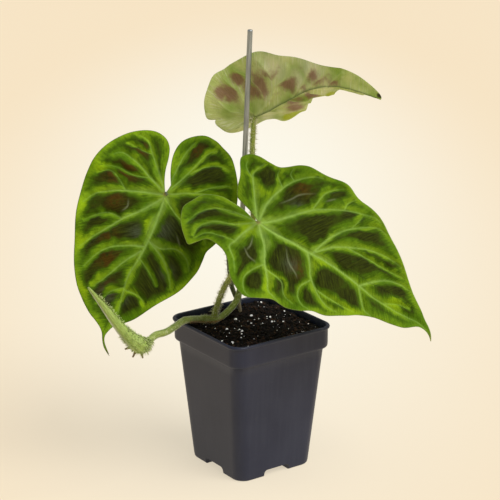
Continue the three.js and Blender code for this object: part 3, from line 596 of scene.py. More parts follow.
def shoot_finish():
    """The sheath: green in long pale fibres, and whiter along its lower side."""
    f = Finish("shoot_downy", (122, 146, 50), Roughness=0.6, Sheen_Weight=0.4, Sheen_Roughness=0.4,
               Sheen_Tint=(0.95, 1.0, 0.9, 1.0))
    streak = f.streaks(f.field("along", "Vector"), (1.2, 6.0, 1.0), 1.6, 4.0, 0.6)
    f.paint((f.step(streak, 0.3, 0.7), (164, 184, 96)), (f.field("down") * 0.8, (204, 202, 196)))
    f.bump(streak, 0.0006, 0.8)
    return f.material


def root_finish():
    """Brown, in blotches."""
    f = Finish("root_brown", (96, 78, 52), Roughness=0.7)
    f.paint((f.noise(f.place(), 500.0, 3.0), (150, 132, 96)))
    return f.material


def pot_finish():
    """Satin charcoal plastic: a faint blue, soft vertical drag marks, fine orange-peel and dusty scuffs."""
    f = Finish("pot_charcoal", (24, 30, 53), Specular_IOR_Level=0.4)
    place = f.place()
    drag = f.streaks(place, (260, 260, 9), 1.0, 3.0)
    scuff = f.step(f.streaks(place, (70, 70, 150), 1.0, 5.0, 0.7), 0.62, 0.8)
    f.paint((f.step(f.noise(place, 26.0, 3.0), 0.3, 0.7), (34, 39, 60)),
            (f.step(drag, 0.4, 0.75) * 0.4, (44, 49, 66)),
            (scuff * 0.1, (96, 94, 96)))
    f.feed(f.surface["Roughness"], drag * 0.14 + 0.36 + scuff * 0.1)
    f.bump(f.noise(place, 900.0, 2.0) * 0.6 + drag * 0.6, 0.00012, 0.6)
    return f.material


def soil_finish():
    """Moist potting mix: near black, with brown peat and bark crumbs."""
    f = Finish("soil_dark", (9, 7, 7), Roughness=0.9, Specular_IOR_Level=0.25)
    crumb = f.noise(f.place(), 420.0, 5.0, 0.7)
    patch = f.noise(f.place(), 90.0, 3.0)
    f.paint((f.step(crumb, 0.42, 0.7), (52, 36, 28)), (f.step(patch, 0.4, 0.65) * 0.85, (9, 7, 7)))
    f.bump(crumb, 0.0012, 1.0)
    return f.material


def crumb_finish():
    """Near black to brown, as the tone of each crumb says."""
    f = Finish("soil_crumbs", (10, 8, 7), Roughness=0.85, Specular_IOR_Level=0.25)
    grain = f.noise(f.place(), 700.0, 4.0, 0.6)
    f.paint((f.field("tone"), (84, 58, 44)), (f.step(grain, 0.4, 0.7) * 0.5, (20, 14, 12)))
    f.bump(grain, 0.0006, 0.8)
    return f.material


def perlite_finish():
    """White, with a painted glow: a little light of its own keeps it bright in the leaves' shade."""
    # The emission is painted light: the grains glow though they are no lamp.
    f = Finish("soil_perlite", (248, 246, 244), Roughness=0.8, Emission_Strength=0.25)
    grain = f.noise(f.place(), 1200.0, 3.0, 0.6)
    f.paint((f.step(grain, 0.35, 0.7), (255, 255, 255)))
    f.bump(grain, 0.0004, 0.8)
    return f.material


def stake_finish():
    """Dull drawn metal: fine lines along its length and faint blotches."""
    f = Finish("stake_grey", (116, 122, 122), Metallic=0.75, Specular_IOR_Level=0.5)
    lines = f.streaks(f.field("along", "Vector"), (0.35, 9.0, 1.0), 1.0, 3.0)
    blotch = f.noise(f.place(), 60.0, 3.0)
    f.paint((f.step(lines, 0.3, 0.7), (176, 182, 182)), (f.step(blotch, 0.5, 0.75) * 0.4, (120, 122, 118)))
    f.feed(f.surface["Roughness"], blotch * 0.2 + 0.3)
    f.bump(lines, 0.0001, 0.5)
    return f.material


# Leaves

def inside(x, y, ring):
    """Whether each point is inside a closed ring: a ray from it to the right crosses the ring an odd
    number of times."""
    odd = np.zeros(x.shape, bool)
    for (ax, ay), (bx, by) in zip(ring, np.roll(ring, -1, axis=0)):
        if ay != by:
            odd ^= ((ay > y) != (by > y)) & (x < (bx - ax) * (y - ay) / (by - ay) + ax)
    return odd


def nearest_on(x, y, line):
    """The distance from each point to a line of short straight spans, where on it the nearest place
    is, and how far along it as a share."""
    best = np.full(x.shape, np.inf)
    px, py, share = np.zeros(x.shape), np.zeros(x.shape), np.zeros(x.shape)
    spans = len(line) - 1
    for k in range(spans):
        (ax, ay), (bx, by) = line[k], line[k + 1]
        dx, dy = bx - ax, by - ay
        t = np.clip(((x - ax) * dx + (y - ay) * dy) / (dx * dx + dy * dy + 1e-12), 0, 1)
        gap = (x - ax - t * dx) ** 2 + (y - ay - t * dy) ** 2
        closer = gap < best
        best = np.where(closer, gap, best)
        px, py = np.where(closer, ax + t * dx, px), np.where(closer, ay + t * dy, py)
        share = np.where(closer, (k + t) / spans, share)
    return np.sqrt(best), px, py, share


def leaf_axes(leaf):
    """The directions across, along and out of the blade, from facing, tilt and lean."""
    facing, tilt, lean = np.radians([leaf["facing"], leaf["tilt"], leaf["lean"]])
    out = np.array([np.sin(facing) * np.cos(tilt), -np.cos(facing) * np.cos(tilt), np.sin(tilt)])
    down = np.array([np.sin(facing) * np.sin(tilt), -np.cos(facing) * np.sin(tilt), -np.cos(tilt)])
    along = down * np.cos(lean) + np.cross(out, down) * np.sin(lean)
    return np.cross(along, out), along, out


CELL = 0.7
BLADE_THICKNESS = 0.6
RIM_THICKNESS = 0.24
RIB_HEIGHT = 1.1
RIM_REACH, RIB_REACH, PUCKER_REACH, TROUGH_REACH = 2.5, 4, 5, 9  # how far in from the margin these grow
MARGIN_UNIT = 20  # of the margin's attribute, which is then 0 to about 3
FOLD_ROUND = 5.0
LOBE_LENGTH = 40.0
WAVE_REACH = 18.0
RELIEF, TROUGH, GROOVE = (1.5, 5.0), (1.5, 3.4), (0.3, 0.9)  # how the face sinks at veins: (depth, width)
PUCKERS = [(0.5, 6.0), (0.2, 2.8)]  # the unevenness between veins, each (height, size)
WANDER = [(2.6, 13.0), (1.0, 4.0)]  # how far aside the patches' edges are read, each (distance, size)
PATCH_REACH = 8.0  # from a strong vein to the middle of a patch
DEEPEST = 1.25  # the most that "between" is, before the dark marks
MARKED_SHARE = 1.36  # what it is multiplied by in a dark mark, as plain_share is outside
STREAK_WIDTH, MIDRIB_WIDTH, JOINT_SIZE, TIP_SIZE = 0.6, 0.8, 1.9, 6
GRAIN_SLOPE, GRAIN_BEHIND, GRAIN_UNIT, OTHER_HALF = 0.7, 28, 10, 400


def spots(x, y, places):
    """Soft round marks: the largest of exp(-(distance / size)²) over the [across, along, size] places."""
    mark = np.zeros(x.shape)
    for across, along, size in places:
        mark = np.maximum(mark, bell(np.hypot(x - across, y - along), size))
    return mark


def blade_ring(leaf):
    """The smooth closed outline of a blade."""
    return np.vstack([spline(leaf["outline"], 6), [[0, 0]]])


def tissue_grain(x, y):
    """Coordinates for streaks in the blade: the first grows along lines that slope forwards and outwards
    from the midrib, and turn round the joint behind it. The two halves read different parts of it."""
    reach = np.abs(x)
    forward = y - GRAIN_SLOPE * reach
    behind = -GRAIN_BEHIND * (np.arctan2(reach, y) - np.arctan2(1, GRAIN_SLOPE))
    flow = np.where(forward > 0, forward, behind) + np.where(x > 0, 0, OTHER_HALF)
    return np.stack([flow / GRAIN_UNIT, np.hypot(x, y) / GRAIN_UNIT, np.zeros(x.shape)], -1)


def blade_fields(leaf, x, y):
    """What varies over a blade at the points x, y: distance from the outline and the veins, the vein
    lines, the halo beside them, how far between veins a point lies, the marks and the tissue's grain.
    A stronger vein is wider and clearer, and every vein fades to its end. The halo and the patches
    between veins are read a little aside of each point, so they wander."""
    edge = nearest_on(x, y, blade_ring(leaf))[0]
    rng = np.random.default_rng(len(leaf["outline"]))
    aside_x = x + layered_noise(x, y, WANDER, rng)
    aside_y = y + layered_noise(x, y, WANDER, rng)
    vein, halo, streak = np.zeros((3, *x.shape))
    deep, sunk = np.full((2, *x.shape), np.inf)
    for strength, points in leaf["veins"]:
        path = spline(points, 5)
        gap, _, _, share = nearest_on(x, y, path)
        width = 0.35 + 0.6 * strength**2 * (1 - 0.6 * share)
        clear = (0.3 + 0.7 * strength) * (1 - 0.7 * share**2)
        vein = np.maximum(vein, clear * bell(gap, width))
        sunk = np.minimum(sunk, gap / (0.4 + 0.6 * strength))
        gap, _, _, share = nearest_on(aside_x, aside_y, path)
        halo = np.maximum(halo, strength * (1 - 0.6 * share) * bell(gap, 1.5 + 3.5 * strength))
        deep = np.minimum(deep, gap / (0.2 + 0.8 * strength * (1 - 0.3 * share)))
    plain = leaf["plain_share"]
    between = np.minimum(np.minimum(deep / PATCH_REACH, edge / leaf["margin_reach"]), DEEPEST)
    between *= plain + (MARKED_SHARE - plain) * spots(aside_x, aside_y, leaf["dark"])
    for points in leaf.get("streaks", []):
        gap, _, _, share = nearest_on(x, y, spline(points, 6))
        fade = np.sin(np.pi * np.clip(share, 0.05, 0.95))
        streak = np.maximum(streak, bell(gap, STREAK_WIDTH) * fade)
    # The midrib's line, where the underside gets its painted shadow.
    midrib = bell(nearest_on(x, y, spline(leaf["veins"][0][1], 5))[0], MIDRIB_WIDTH)
    # Of these marks, the grey-blue spots on the upper face are painted sheen.
    marks = {key: spots(x, y, leaf.get(key, []))
             for key in ("brown", "painted_sheen", "bright", "purple", "scallop", "pale")}
    return dict(edge=edge, vein=vein, halo=halo, between=between, streak=streak, sunk=sunk,
                grain=tissue_grain(x, y), joint=bell(np.hypot(x, y), JOINT_SIZE), midrib=midrib,
                tip=spots(x, y, [[*leaf["tip"], TIP_SIZE]]), **marks)


def blade_height(leaf, x, y, edge, sunk):
    """The upper face over the blade's plane: the halves rise from the midrib and arch over, the tip and
    the lobes droop, the margin waves, the tissue sinks towards the veins with a narrow groove at each,
    and puckers between them."""
    forward = np.clip(y / leaf["length"], 0, 1)
    across = x - leaf["bow"] * np.sin(np.pi * forward**2)
    fold = np.where(across > 0, leaf["fold_left"], leaf["fold_right"])
    height = fold * (np.hypot(across, FOLD_ROUND) - FOLD_ROUND)
    height -= leaf["arch"] * (across / leaf["half_width"]) ** 2
    height -= np.where(y > 0, leaf["droop"] * (y / leaf["length"]) ** 2,
                       leaf["lobe_droop"] * (y / LOBE_LENGTH) ** 2)
    near_edge = np.maximum(0, 1 - edge / WAVE_REACH) ** 2
    turn = np.arctan2(x, y - leaf["length"] * 0.3)
    height += leaf["wave_height"] * near_edge * np.sin(leaf["waves"] * turn + leaf["wave_start"])
    inner = smoothstep(edge, 0, TROUGH_REACH)
    for (depth, width), share in ((RELIEF, 1 - near_edge), (TROUGH, inner), (GROOVE, 1)):
        height -= depth * bell(sunk, width) * share
    puckers = layered_noise(x, y, PUCKERS, np.random.default_rng(5))
    return height + puckers * smoothstep(edge, 0, PUCKER_REACH)


def blade_grid(ring):
    """A square grid over the blade's plane, with the cells whose middle is inside the outline, and the
    points on their border drawn to the outline. Returns x and y of the points, the four corners of each
    cell and the two corners of each open side."""
    low, high = ring.min(axis=0) - CELL, ring.max(axis=0) + CELL
    xs, ys = np.arange(low[0], high[0] + CELL, CELL), np.arange(low[1], high[1] + CELL, CELL)
    kept = np.pad(inside(*np.meshgrid(xs[:-1] + CELL / 2, ys[:-1] + CELL / 2), ring[:-1]), 1).astype(int)
    round_point = kept[:-1, :-1] + kept[1:, :-1] + kept[:-1, 1:] + kept[1:, 1:]
    x, y = np.meshgrid(xs, ys)
    border = (round_point > 0) & (round_point < 4)
    _, x[border], y[border], _ = nearest_on(x[border], y[border], ring)
    used = round_point > 0
    number = np.cumsum(used.ravel()).reshape(used.shape) - 1
    row, column = np.nonzero(kept[1:-1, 1:-1])
    cells = np.stack([number[row + up, column + over] for up, over in ((0, 0), (0, 1), (1, 1), (1, 0))], 1)
    sides = []
    for up, over, first, second in ((-1, 0, 0, 1), (0, 1, 1, 2), (1, 0, 2, 3), (0, -1, 3, 0)):
        is_open = kept[row + 1 + up, column + 1 + over] == 0
        sides.append(cells[is_open][:, [first, second]])
    return x[used], y[used], cells, np.vstack(sides)


def make_leaf(side, leaf, upper, under):
    """The blade: an upper and a lower face, a little apart and nearer at the margin, closed by a rim. The
    veins stand out of the lower one."""
    x, y, cells, sides = blade_grid(blade_ring(leaf))
    fields = blade_fields(leaf, x, y)
    edge = fields.pop("edge")
    top = blade_height(leaf, x, y, edge, fields.pop("sunk"))
    thick = RIM_THICKNESS + (BLADE_THICKNESS - RIM_THICKNESS) * smoothstep(edge, 0, RIM_REACH)
    rib = RIB_HEIGHT * fields["vein"] * smoothstep(edge, 0, RIB_REACH)
    across, along, out = leaf_axes(leaf)
    plane = np.array(leaf["joint"]) + x[:, None] * across + y[:, None] * along
    points = np.vstack([plane + top[:, None] * out, plane + (top - thick - rib)[:, None] * out])
    count = len(x)
    rim = np.hstack([sides[:, ::-1], sides + count])
    faces = [cells, cells[:, ::-1] + count, rim]
    index = np.repeat([0, 1, 0], [len(part) for part in faces])
    fields["margin"] = edge / MARGIN_UNIT
    attributes = {key: np.concatenate([values, values]) for key, values in fields.items()}
    make_piece(f"blade_{side}", place_plant(points), faces, [upper, under],
               [f"leaf_{side}"], attributes, index)


# Stalks, stem, stake and shoot

SIDE_REFERENCE = unit(np.array([1.0, -1.0, 0.0]))
HAIR_STEPS = 400
HAIR_ROOT = 0.9  # how far from the stalk's middle to its skin a hair starts
HAIR_LENGTHS = (0.6, 1.15)  # of the length that is asked for
HAIR_LEAN_SPREAD, HAIR_STRAY = 0.25, 0.16
NEEDLE_MIDDLE, MIDDLE_THICKNESS = 0.55, 0.6  # how far up a needle its middle ring is, and how thick there


def tube_frame(line, steps):
    """Places along a line, its directions there, and two directions across it, the first square to
    SIDE_REFERENCE."""
    centre, along = even_line(line, steps)
    first = unit(np.cross(along, SIDE_REFERENCE))
    return centre, along, first, np.cross(along, first)


def tube(line, radius, sides, steps, ripple, seed):
    """centre(t) + radius(t)·(1 + ripple·noise)·(cos a·first + sin a·second), closed at both ends. Returns
    points, faces, the share along and the angle of each point, and the length."""
    centre, _, first, second = tube_frame(line, steps)
    t, a = np.meshgrid(np.linspace(0, 1, steps + 1), np.linspace(0, 2 * np.pi, sides, endpoint=False),
                       indexing="ij")
    length = np.linalg.norm(np.diff(centre, axis=0), axis=1).sum()
    bumps = value_noise(t * length, 3 * np.cos(a), 3.0, np.random.default_rng(seed))
    r = radius(t) * (1 + ripple * bumps)
    out = np.cos(a)[..., None] * first[:, None] + np.sin(a)[..., None] * second[:, None]
    points, faces = closed_loft(centre[:, None] + r[..., None] * out, centre[[0, -1]])
    return points, faces, np.append(t, [0, 1]), np.append(a, [0, 0]), length


def along_field(share, angle, length):
    """For long streaks: centimetres along the stalk, and the way round it."""
    return np.stack([share * length / 10, np.cos(angle), np.sin(angle)], 1)


def stalk_piece(name, line, radius, material, slot, node, sides, steps, ripple=0.0, seed=0, extra=None):
    """A tube along a line, with more attributes where extra works them out from its points."""
    points, faces, share, angle, length = tube(line, radius, sides, steps, ripple, seed)
    attributes = {"along": along_field(share, angle, length), "share": share}
    if extra:
        attributes.update(extra(points))
    make_piece(name, place_plant(points), faces, [material], [node], attributes)


def needles(roots, directions, lengths, thickness, droop):
    """Each needle is three-sided: a ring at its root, a thinner ring near its middle and a point at its
    tip, which hangs by droop times its length. Returns points, faces and 0 at the root to 1 at the tip."""
    side = unit(np.cross(directions, np.array([0.31, 0.22, 0.92])))
    other = np.cross(directions, side)
    a = np.array([0, 2, 4]) * np.pi / 3
    ring = np.cos(a)[None, :, None] * side[:, None] + np.sin(a)[None, :, None] * other[:, None]
    ring = ring * thickness[:, None, None]
    reach = lengths[:, None]
    middle = roots + directions * reach * NEEDLE_MIDDLE
    tip = roots + directions * reach + np.array([0, 0, -1.0]) * droop * reach
    points = np.concatenate([roots[:, None] + ring, middle[:, None] + ring * MIDDLE_THICKNESS,
                             tip[:, None]], axis=1)
    start = np.arange(len(roots))[:, None] * 7
    sides = [(k, (k + 1) % 3) for k in range(3)]
    quads = np.concatenate([start + np.array([[k, after, 3 + after, 3 + k]]) for k, after in sides])
    tips = np.concatenate([start + np.array([[3 + k, 3 + after, 6]]) for k, after in sides])
    share = np.tile([0, 0, 0, 0.5, 0.5, 0.5, 1.0], len(roots))
    return points.reshape(-1, 3), [quads, tips, start + np.array([[2, 1, 0]])], share


def stalk_hairs(name, line, radius, material, slot, seed, count, reach, length, thickness,
                toward=None, spread=np.pi, droop=0.15, lean=0.3):
    """Hairs that stand out of a stalk, rooted inside its skin, at random angles and places from one share
    of its line to another (reach). toward keeps them within the spread of that direction, and lean is how
    far they point along the line."""
    rng = np.random.default_rng(seed)
    t = rng.uniform(*reach, count)
    angle = rng.uniform(-spread, spread, count)
    centre, along, first, second = tube_frame(line, HAIR_STEPS)
    row = np.round(t * HAIR_STEPS).astype(int)
    if toward is not None:
        angle += np.arctan2(second[row] @ toward, first[row] @ toward)
    out = np.cos(angle)[:, None] * first[row] + np.sin(angle)[:, None] * second[row]
    direction = unit(out + along[row] * rng.normal(lean, HAIR_LEAN_SPREAD, count)[:, None]
                     + rng.normal(0, HAIR_STRAY, (count, 3)))
    roots = centre[row] + out * (radius(t) * HAIR_ROOT)[:, None]
    lengths = rng.uniform(*HAIR_LENGTHS, count) * length
    points, faces, share = needles(roots, direction, lengths, np.full(count, thickness), droop)
    make_piece(name, place_plant(points), faces, [material], (), {"tip": share})


def stem_radius(t):
    """Tapers by an eighth, with a swollen joint halfway."""
    return STEM_RADIUS * (1 - 0.12 * t) + 0.7 * bell(t - 0.5, 0.03)


def petiole_radius(t):
    """Widest where it clasps the stem."""
    return PETIOLE_RADIUS * (1 + 0.25 * np.exp(-t / 0.06) - 0.12 * t)


def aged_radius(t):
    """Thinner low down, where the old stalk has dried."""
    return petiole_radius(t) * (0.68 + 0.32 * smoothstep(t, 0.14, 0.34))


def shoot_radius(t):
    """Thick just above its base, then a taper to the tip."""
    taper = SHOOT_RADIUS * (1 - t) ** 0.8
    return (taper + SHOOT_SWELL * bell(t - 0.15, 0.12)) * smoothstep(t, -0.08, 0.16) + SHOOT_TIP_RADIUS


def stub_radius(t):
    """A plain taper."""
    return STUB_RADIUS - STUB_TAPER * t


def chamfered_radius(t):
    """The stake's, which narrows at the very top."""
    return STAKE_DIAMETER / 2 * (1 - STAKE_CHAMFER * smoothstep(t, STAKE_CHAMFER_START, 1))


def node_brown(points):
    """Where the stem is brown: round its joint on the soil, on the underside."""
    gap = np.linalg.norm((points - NODE) * [1, 1, 1.4], axis=1)
    below = smoothstep(NODE[2] + 0.8 - points[:, 2], 0, 3)
    return {"joint_brown": np.clip(bell(gap, NODE_BROWN_REACH) * below * 1.8, 0, 1)}


def make_stalks():
    """The stem, the three leaf stalks with their hairs, and the stake."""
    stem = STEM_LINE, stem_radius
    stalk_piece("stem_skin", *stem, stem_finish(), "plant_stem", "stem", 28, 260, 0.03, extra=node_brown)
    down = hair_finish("stem_down", (176, 184, 130), (236, 236, 208))
    tan = hair_finish("node_tan", (190, 140, 84), (240, 206, 150))
    stalk_hairs("stem_hairs", *stem, down, "plant_stem", 31, 5200, (0.01, 0.99), 0.9, 0.05)
    stalk_hairs("node_hairs", *stem, down, "plant_stem", 32, 420, (0.47, 0.56), 2.2, 0.08)
    stalk_hairs("node_fuzz", *stem, tan, "plant_stem", 33, 420, (0.34, 0.56), 1.3, 0.12,
                NODE_UNDERSIDE, 0.5)
    olive, papery = stalk_finish(), left_stalk_finish()
    hair = hair_finish("petiole_hairs", (232, 228, 180), (255, 253, 242))
    for side, line, radius, material, hairs, lowest in (
            ("right", RIGHT_PETIOLE_LINE, petiole_radius, olive, 950, 0.02),
            ("left", LEFT_PETIOLE_LINE, aged_radius, papery, 260, 0.3),
            ("top", TOP_PETIOLE_LINE, petiole_radius, olive, 950, 0.02)):
        leaf = LEAVES[side]
        end = np.array(leaf["joint"]) - leaf_axes(leaf)[2] * PETIOLE_SINK
        whole = [*line, end.tolist()]
        stalk_piece(f"petiole_{side}_skin", whole, radius, material, "leaf_stalk", f"petiole_{side}",
                    24, 160, 0.05, len(side))
        stalk_hairs(f"petiole_{side}_hairs", whole, petiole_radius, hair, "leaf_stalk", 40 + len(side),
                    hairs, (lowest, 0.99), 3.2, 0.21)
    stalk_piece("stake_rod", [STAKE_FOOT, STAKE_TOP], chamfered_radius, stake_finish(), "stake_metal",
                "support_stake", 32, 400)


def make_shoot():
    """The new leaf in its sheath: grooved along its length, with a comb of bristles along its COMB_SIDE, a
    shaggy base and blunt brown roots."""
    sides, steps = 40, 160
    points, faces, share, angle, length = tube(SHOOT_LINE, shoot_radius, sides, steps, 0.03, 3)
    centre = even_line(SHOOT_LINE, steps)[0][:, None]
    grooves = 1 + GROOVE_SHARE * np.cos(SHOOT_GROOVES * angle[:-2] + GROOVE_TWIST * share[:-2])
    ring = (points[:-2].reshape(-1, sides, 3) - centre) * grooves.reshape(-1, sides, 1)
    points = np.vstack([(centre + ring).reshape(-1, 3), points[-2:]])
    out = unit(ring).reshape(-1, 3) @ COMB_SIDE
    down = np.append(smoothstep(-out, 0.35, 0.95), [0, 0]) * smoothstep(share, 0.12, 0.3)
    attributes = {"along": along_field(share, angle, length), "down": down}
    make_piece("shoot_sheath", place_plant(points), faces, [shoot_finish()], ["new_shoot"],
               attributes)
    bristle = hair_finish("shoot_bristles", (134, 158, 66), (206, 216, 150))
    # each with its seed, name, count, reach, length, thickness, toward, spread, droop and lean
    for seed, name, *hairs in (
            (61, "comb", 150, (0.08, 0.86), 3.0, 0.36, COMB_SIDE, 0.4, 0.0, 0.3),
            (62, "down", 900, (0.03, 0.95), 1.0, 0.12, None, np.pi, 0.1, 0.5),
            (63, "shag", 520, (0.01, 0.36), 3.2, 0.3, None, np.pi, 0.1, 0.9),
            (64, "fringe", 420, (0.0, 0.14), 3.4, 0.34, None, np.pi, 0.5, -0.5)):
        stalk_hairs(f"shoot_{name}", SHOOT_LINE, shoot_radius, bristle, "young_sheath", seed, *hairs)
    stubs, stub_faces, done = [], [], 0
    for end in STUB_ENDS:
        part, part_faces, *_ = tube([STUB_START, end], stub_radius, 12, 14, 0.1, 5)
        stubs.append(part)
        stub_faces += [f + done for f in part_faces]
        done += len(part)
    make_piece("shoot_roots", place_plant(np.vstack(stubs)), stub_faces, [root_finish()])


# Pot and soil

def rounded_ring(corner_steps, side_steps):
    """A square ring with round corners as two sets of vectors, c and d: a ring of half width w and
    corner radius r is (w - r)·c + r·d."""
    c, d = [], []
    for turn in np.arange(4) * np.pi / 2:
        corner = np.array([np.cos(turn) - np.sin(turn), np.sin(turn) + np.cos(turn)])
        after = np.array([-corner[1], corner[0]])
        a = turn + np.linspace(0, np.pi / 2, corner_steps + 1)
        share = np.linspace(0, 1, side_steps + 1)[1:-1, None]
        c += [np.tile(corner, (corner_steps + 1, 1)), corner + (after - corner) * share]
        d.append(np.stack([np.cos(a), np.sin(a)], 1))
        d.append(np.tile(d[-1][-1], (side_steps - 1, 1)))
    return np.vstack(c), np.vstack(d)


def lofted_square(profile, corner_steps=12, side_steps=16):
    """Rings of rounded squares, one for each (height, width) of the profile, closed by poles at both
    ends. Returns points in the pot's frame, in millimetres, and faces."""
    c, d = rounded_ring(corner_steps, side_steps)
    heights, widths = np.array(profile, float).T
    radius = np.minimum(CORNER_RADIUS - (POT_WIDTH - widths) * CORNER_TAPER, widths * 0.4)
    reach = widths / 2 - radius
    ring = reach[:, None, None] * c + radius[:, None, None] * d
    level = np.broadcast_to(heights[:, None, None], (*ring.shape[:2], 1))
    poles = [[0, 0, heights[0]], [0, 0, heights[-1]]]
    return closed_loft(np.concatenate([ring, level], axis=2), poles)


def place_pot(points):
    """Millimetres of the pot, which stands square to the part, to the part's metres."""
    return points * MM + POT_MIDDLE


def prism(outline, low, high, axis):
    """An outline (two coordinates, counterclockwise) carried from low to high along X (0), Y (1) or
    Z (2). Square to Y the two coordinates turn the other way, so there the outline is read backwards."""
    outline = np.array(outline, float)[::-1 if axis == 1 else 1]
    layers = [np.insert(outline, axis, at, axis=1) for at in (low, high)]
    ring = np.arange(len(outline))
    after, top = np.roll(ring, -1), ring + len(outline)
    walls = np.stack([ring, after, after + len(outline), top], 1)
    return np.vstack(layers), [walls, ring[::-1][None, :], top[None, :]]


def cut_away(piece, cutters):
    """Takes the cutters' solids out of the piece."""
    for cutter in cutters:
        modifier = piece.modifiers.new("cut", "BOOLEAN")
        modifier.object = cutter
        modifier.operation = "DIFFERENCE"
        modifier.solver = "EXACT"
    graph = bpy.context.evaluated_depsgraph_get()
    piece.data = bpy.data.meshes.new_from_object(piece.evaluated_get(graph))
    piece.modifiers.clear()
    for cutter in cutters:
        bpy.data.objects.remove(cutter)


def plain_mesh(name, points, faces):
    """A mesh object with no material, which isn't a piece of the part."""
    mesh = bpy.data.meshes.new(name)
    mesh.from_pydata(points.tolist(), [], [face.tolist() for part in faces for face in part])
    return add_object(name, mesh)


def arc(middle, radii, start, end, count):
    """Points round a middle: each is middle + radii·(sin t, cos t), with t from start to end."""
    return [(middle[0] + radii[0] * np.sin(t), middle[1] + radii[1] * np.cos(t))
            for t in np.linspace(start, end, count)]


def pot_profile():
    """(height, width) from the middle of the base, up the tapered wall, over the band and the rolled lip,
    and down the inside to the floor."""
    band_foot = POT_HEIGHT - BAND_HEIGHT
    wall_at = lambda height: POT_BASE_WIDTH + (WALL_TOP_WIDTH - POT_BASE_WIDTH) * height / band_foot
    levels = lambda low, high, count, width: [(h, width(h)) for h in np.linspace(low, high, count)]
    band_inside = BAND_WIDTH - 2 * POT_WALL
    quarter = np.pi / 2
    lip_height, lip_reach = 1.55, 2.5
    return [
        (0, 8), (0, 30), (0, POT_BASE_WIDTH - 6),
        *arc((1.6, POT_BASE_WIDTH - 3.2), (1.6, 3.2), -quarter, 0, 6),
        *levels(3, band_foot - 1.2, 14, wall_at),
        *arc((band_foot + 2.6, BAND_WIDTH - 4.4), (2.6, 4), -quarter, 0, 7),
        *levels(band_foot + 5, POT_HEIGHT - 4.2, 5, lambda h: BAND_WIDTH - 0.3),
        *arc((POT_HEIGHT - lip_height, POT_WIDTH - lip_reach), (lip_height, lip_reach),
             -np.pi / 2.3, np.pi * 1.02, 13),
        *levels(POT_HEIGHT - 3, band_foot + 2, 5, lambda h: band_inside - 1),
        (band_foot, band_inside - 1.8), (band_foot - 2, WALL_TOP_WIDTH - 2 * POT_WALL),
        *levels(band_foot - 4, FLOOR_TOP + 1.5, 9, lambda h: wall_at(h) - 2 * POT_WALL),
        (FLOOR_TOP, wall_at(FLOOR_TOP) - 2 * POT_WALL - 2.5), (FLOOR_TOP, 30), (FLOOR_TOP, 8)]


def make_pot():
    """The pot's wall, with the arches between its feet and the drain holes cut out of it."""
    points, faces = lofted_square(pot_profile())
    pot = make_piece("pot_shell", place_pot(points), faces, [pot_finish()], ["pot"])
    half, low = ARCH_WIDTH / 2, -2
    side = arc((ARCH_HEIGHT - ARCH_CORNER, half - ARCH_CORNER), (ARCH_CORNER, ARCH_CORNER), 0, np.pi / 2, 6)
    arch = [(half, low), *[(across, up) for up, across in side],
            *[(-across, up) for up, across in reversed(side)], (-half, low)]
    cuts = [("arch", prism(arch, -POT_WIDTH, POT_WIDTH, axis)) for axis in (0, 1)]
    a = np.linspace(0, 2 * np.pi, 24, endpoint=False)
    circle = DRAIN_DIAMETER / 2 * np.stack([np.cos(a), np.sin(a)], 1)
    for place in ((0, 0), (1, 0), (-1, 0), (0, 1), (0, -1)):
        drain = np.array(place) * DRAIN_OFFSET + circle
        cuts.append(("drain", prism(drain, FOOT_HEIGHT - 1, FLOOR_TOP + 2, 2)))
    cut_away(pot, [plain_mesh(name, place_pot(points), faces) for name, (points, faces) in cuts])
    pot.data.set_sharp_from_angle(angle=np.radians(38))


def to_plant(x, y):
    """Places in the pot's frame as the plant's X and Y."""
    c, s = np.cos(PLANT_TURN), np.sin(PLANT_TURN)
    return x * c + y * s, y * c - x * s


def soil_reach(angle, half, radius):
    """How far a square with round corners reaches in each direction from its middle."""
    c, s = np.abs(np.cos(angle)), np.abs(np.sin(angle))
    middle = half - radius
    straight = half / np.maximum(c, s)
    b = middle * (c + s)
    round_corner = b + np.sqrt(np.maximum(0, b * b - 2 * middle**2 + radius**2))
    return np.where(straight * np.minimum(c, s) > middle, round_corner, straight)


def soil_height(x, y, rng):
    """The soil's top: a low mound with lumps of four sizes, heaped towards the back and the right, and
    pressed down under the stem. x and y are in the pot's frame."""
    height = SOIL_LEVEL + SOIL_MOUND * (1 - (np.hypot(x, y) / SOIL_HALF) ** 2)
    height += layered_noise(x, y, SOIL_LUMPS, rng)
    right, back = to_plant(x, y)
    height += np.maximum(SOIL_BACK_RISE * smoothstep(back, 0, SOIL_BACK_REACH),
                         SOIL_RIGHT_RISE * smoothstep(right, 0, SOIL_RIGHT_REACH))
    stem, _ = even_line(STEM_LINE[6:11], 30)
    gap = nearest_on(right, back, stem[:, :2])[0]
    return np.where(gap < STEM_BED, np.minimum(height, SOIL_UNDER_STEM), height)


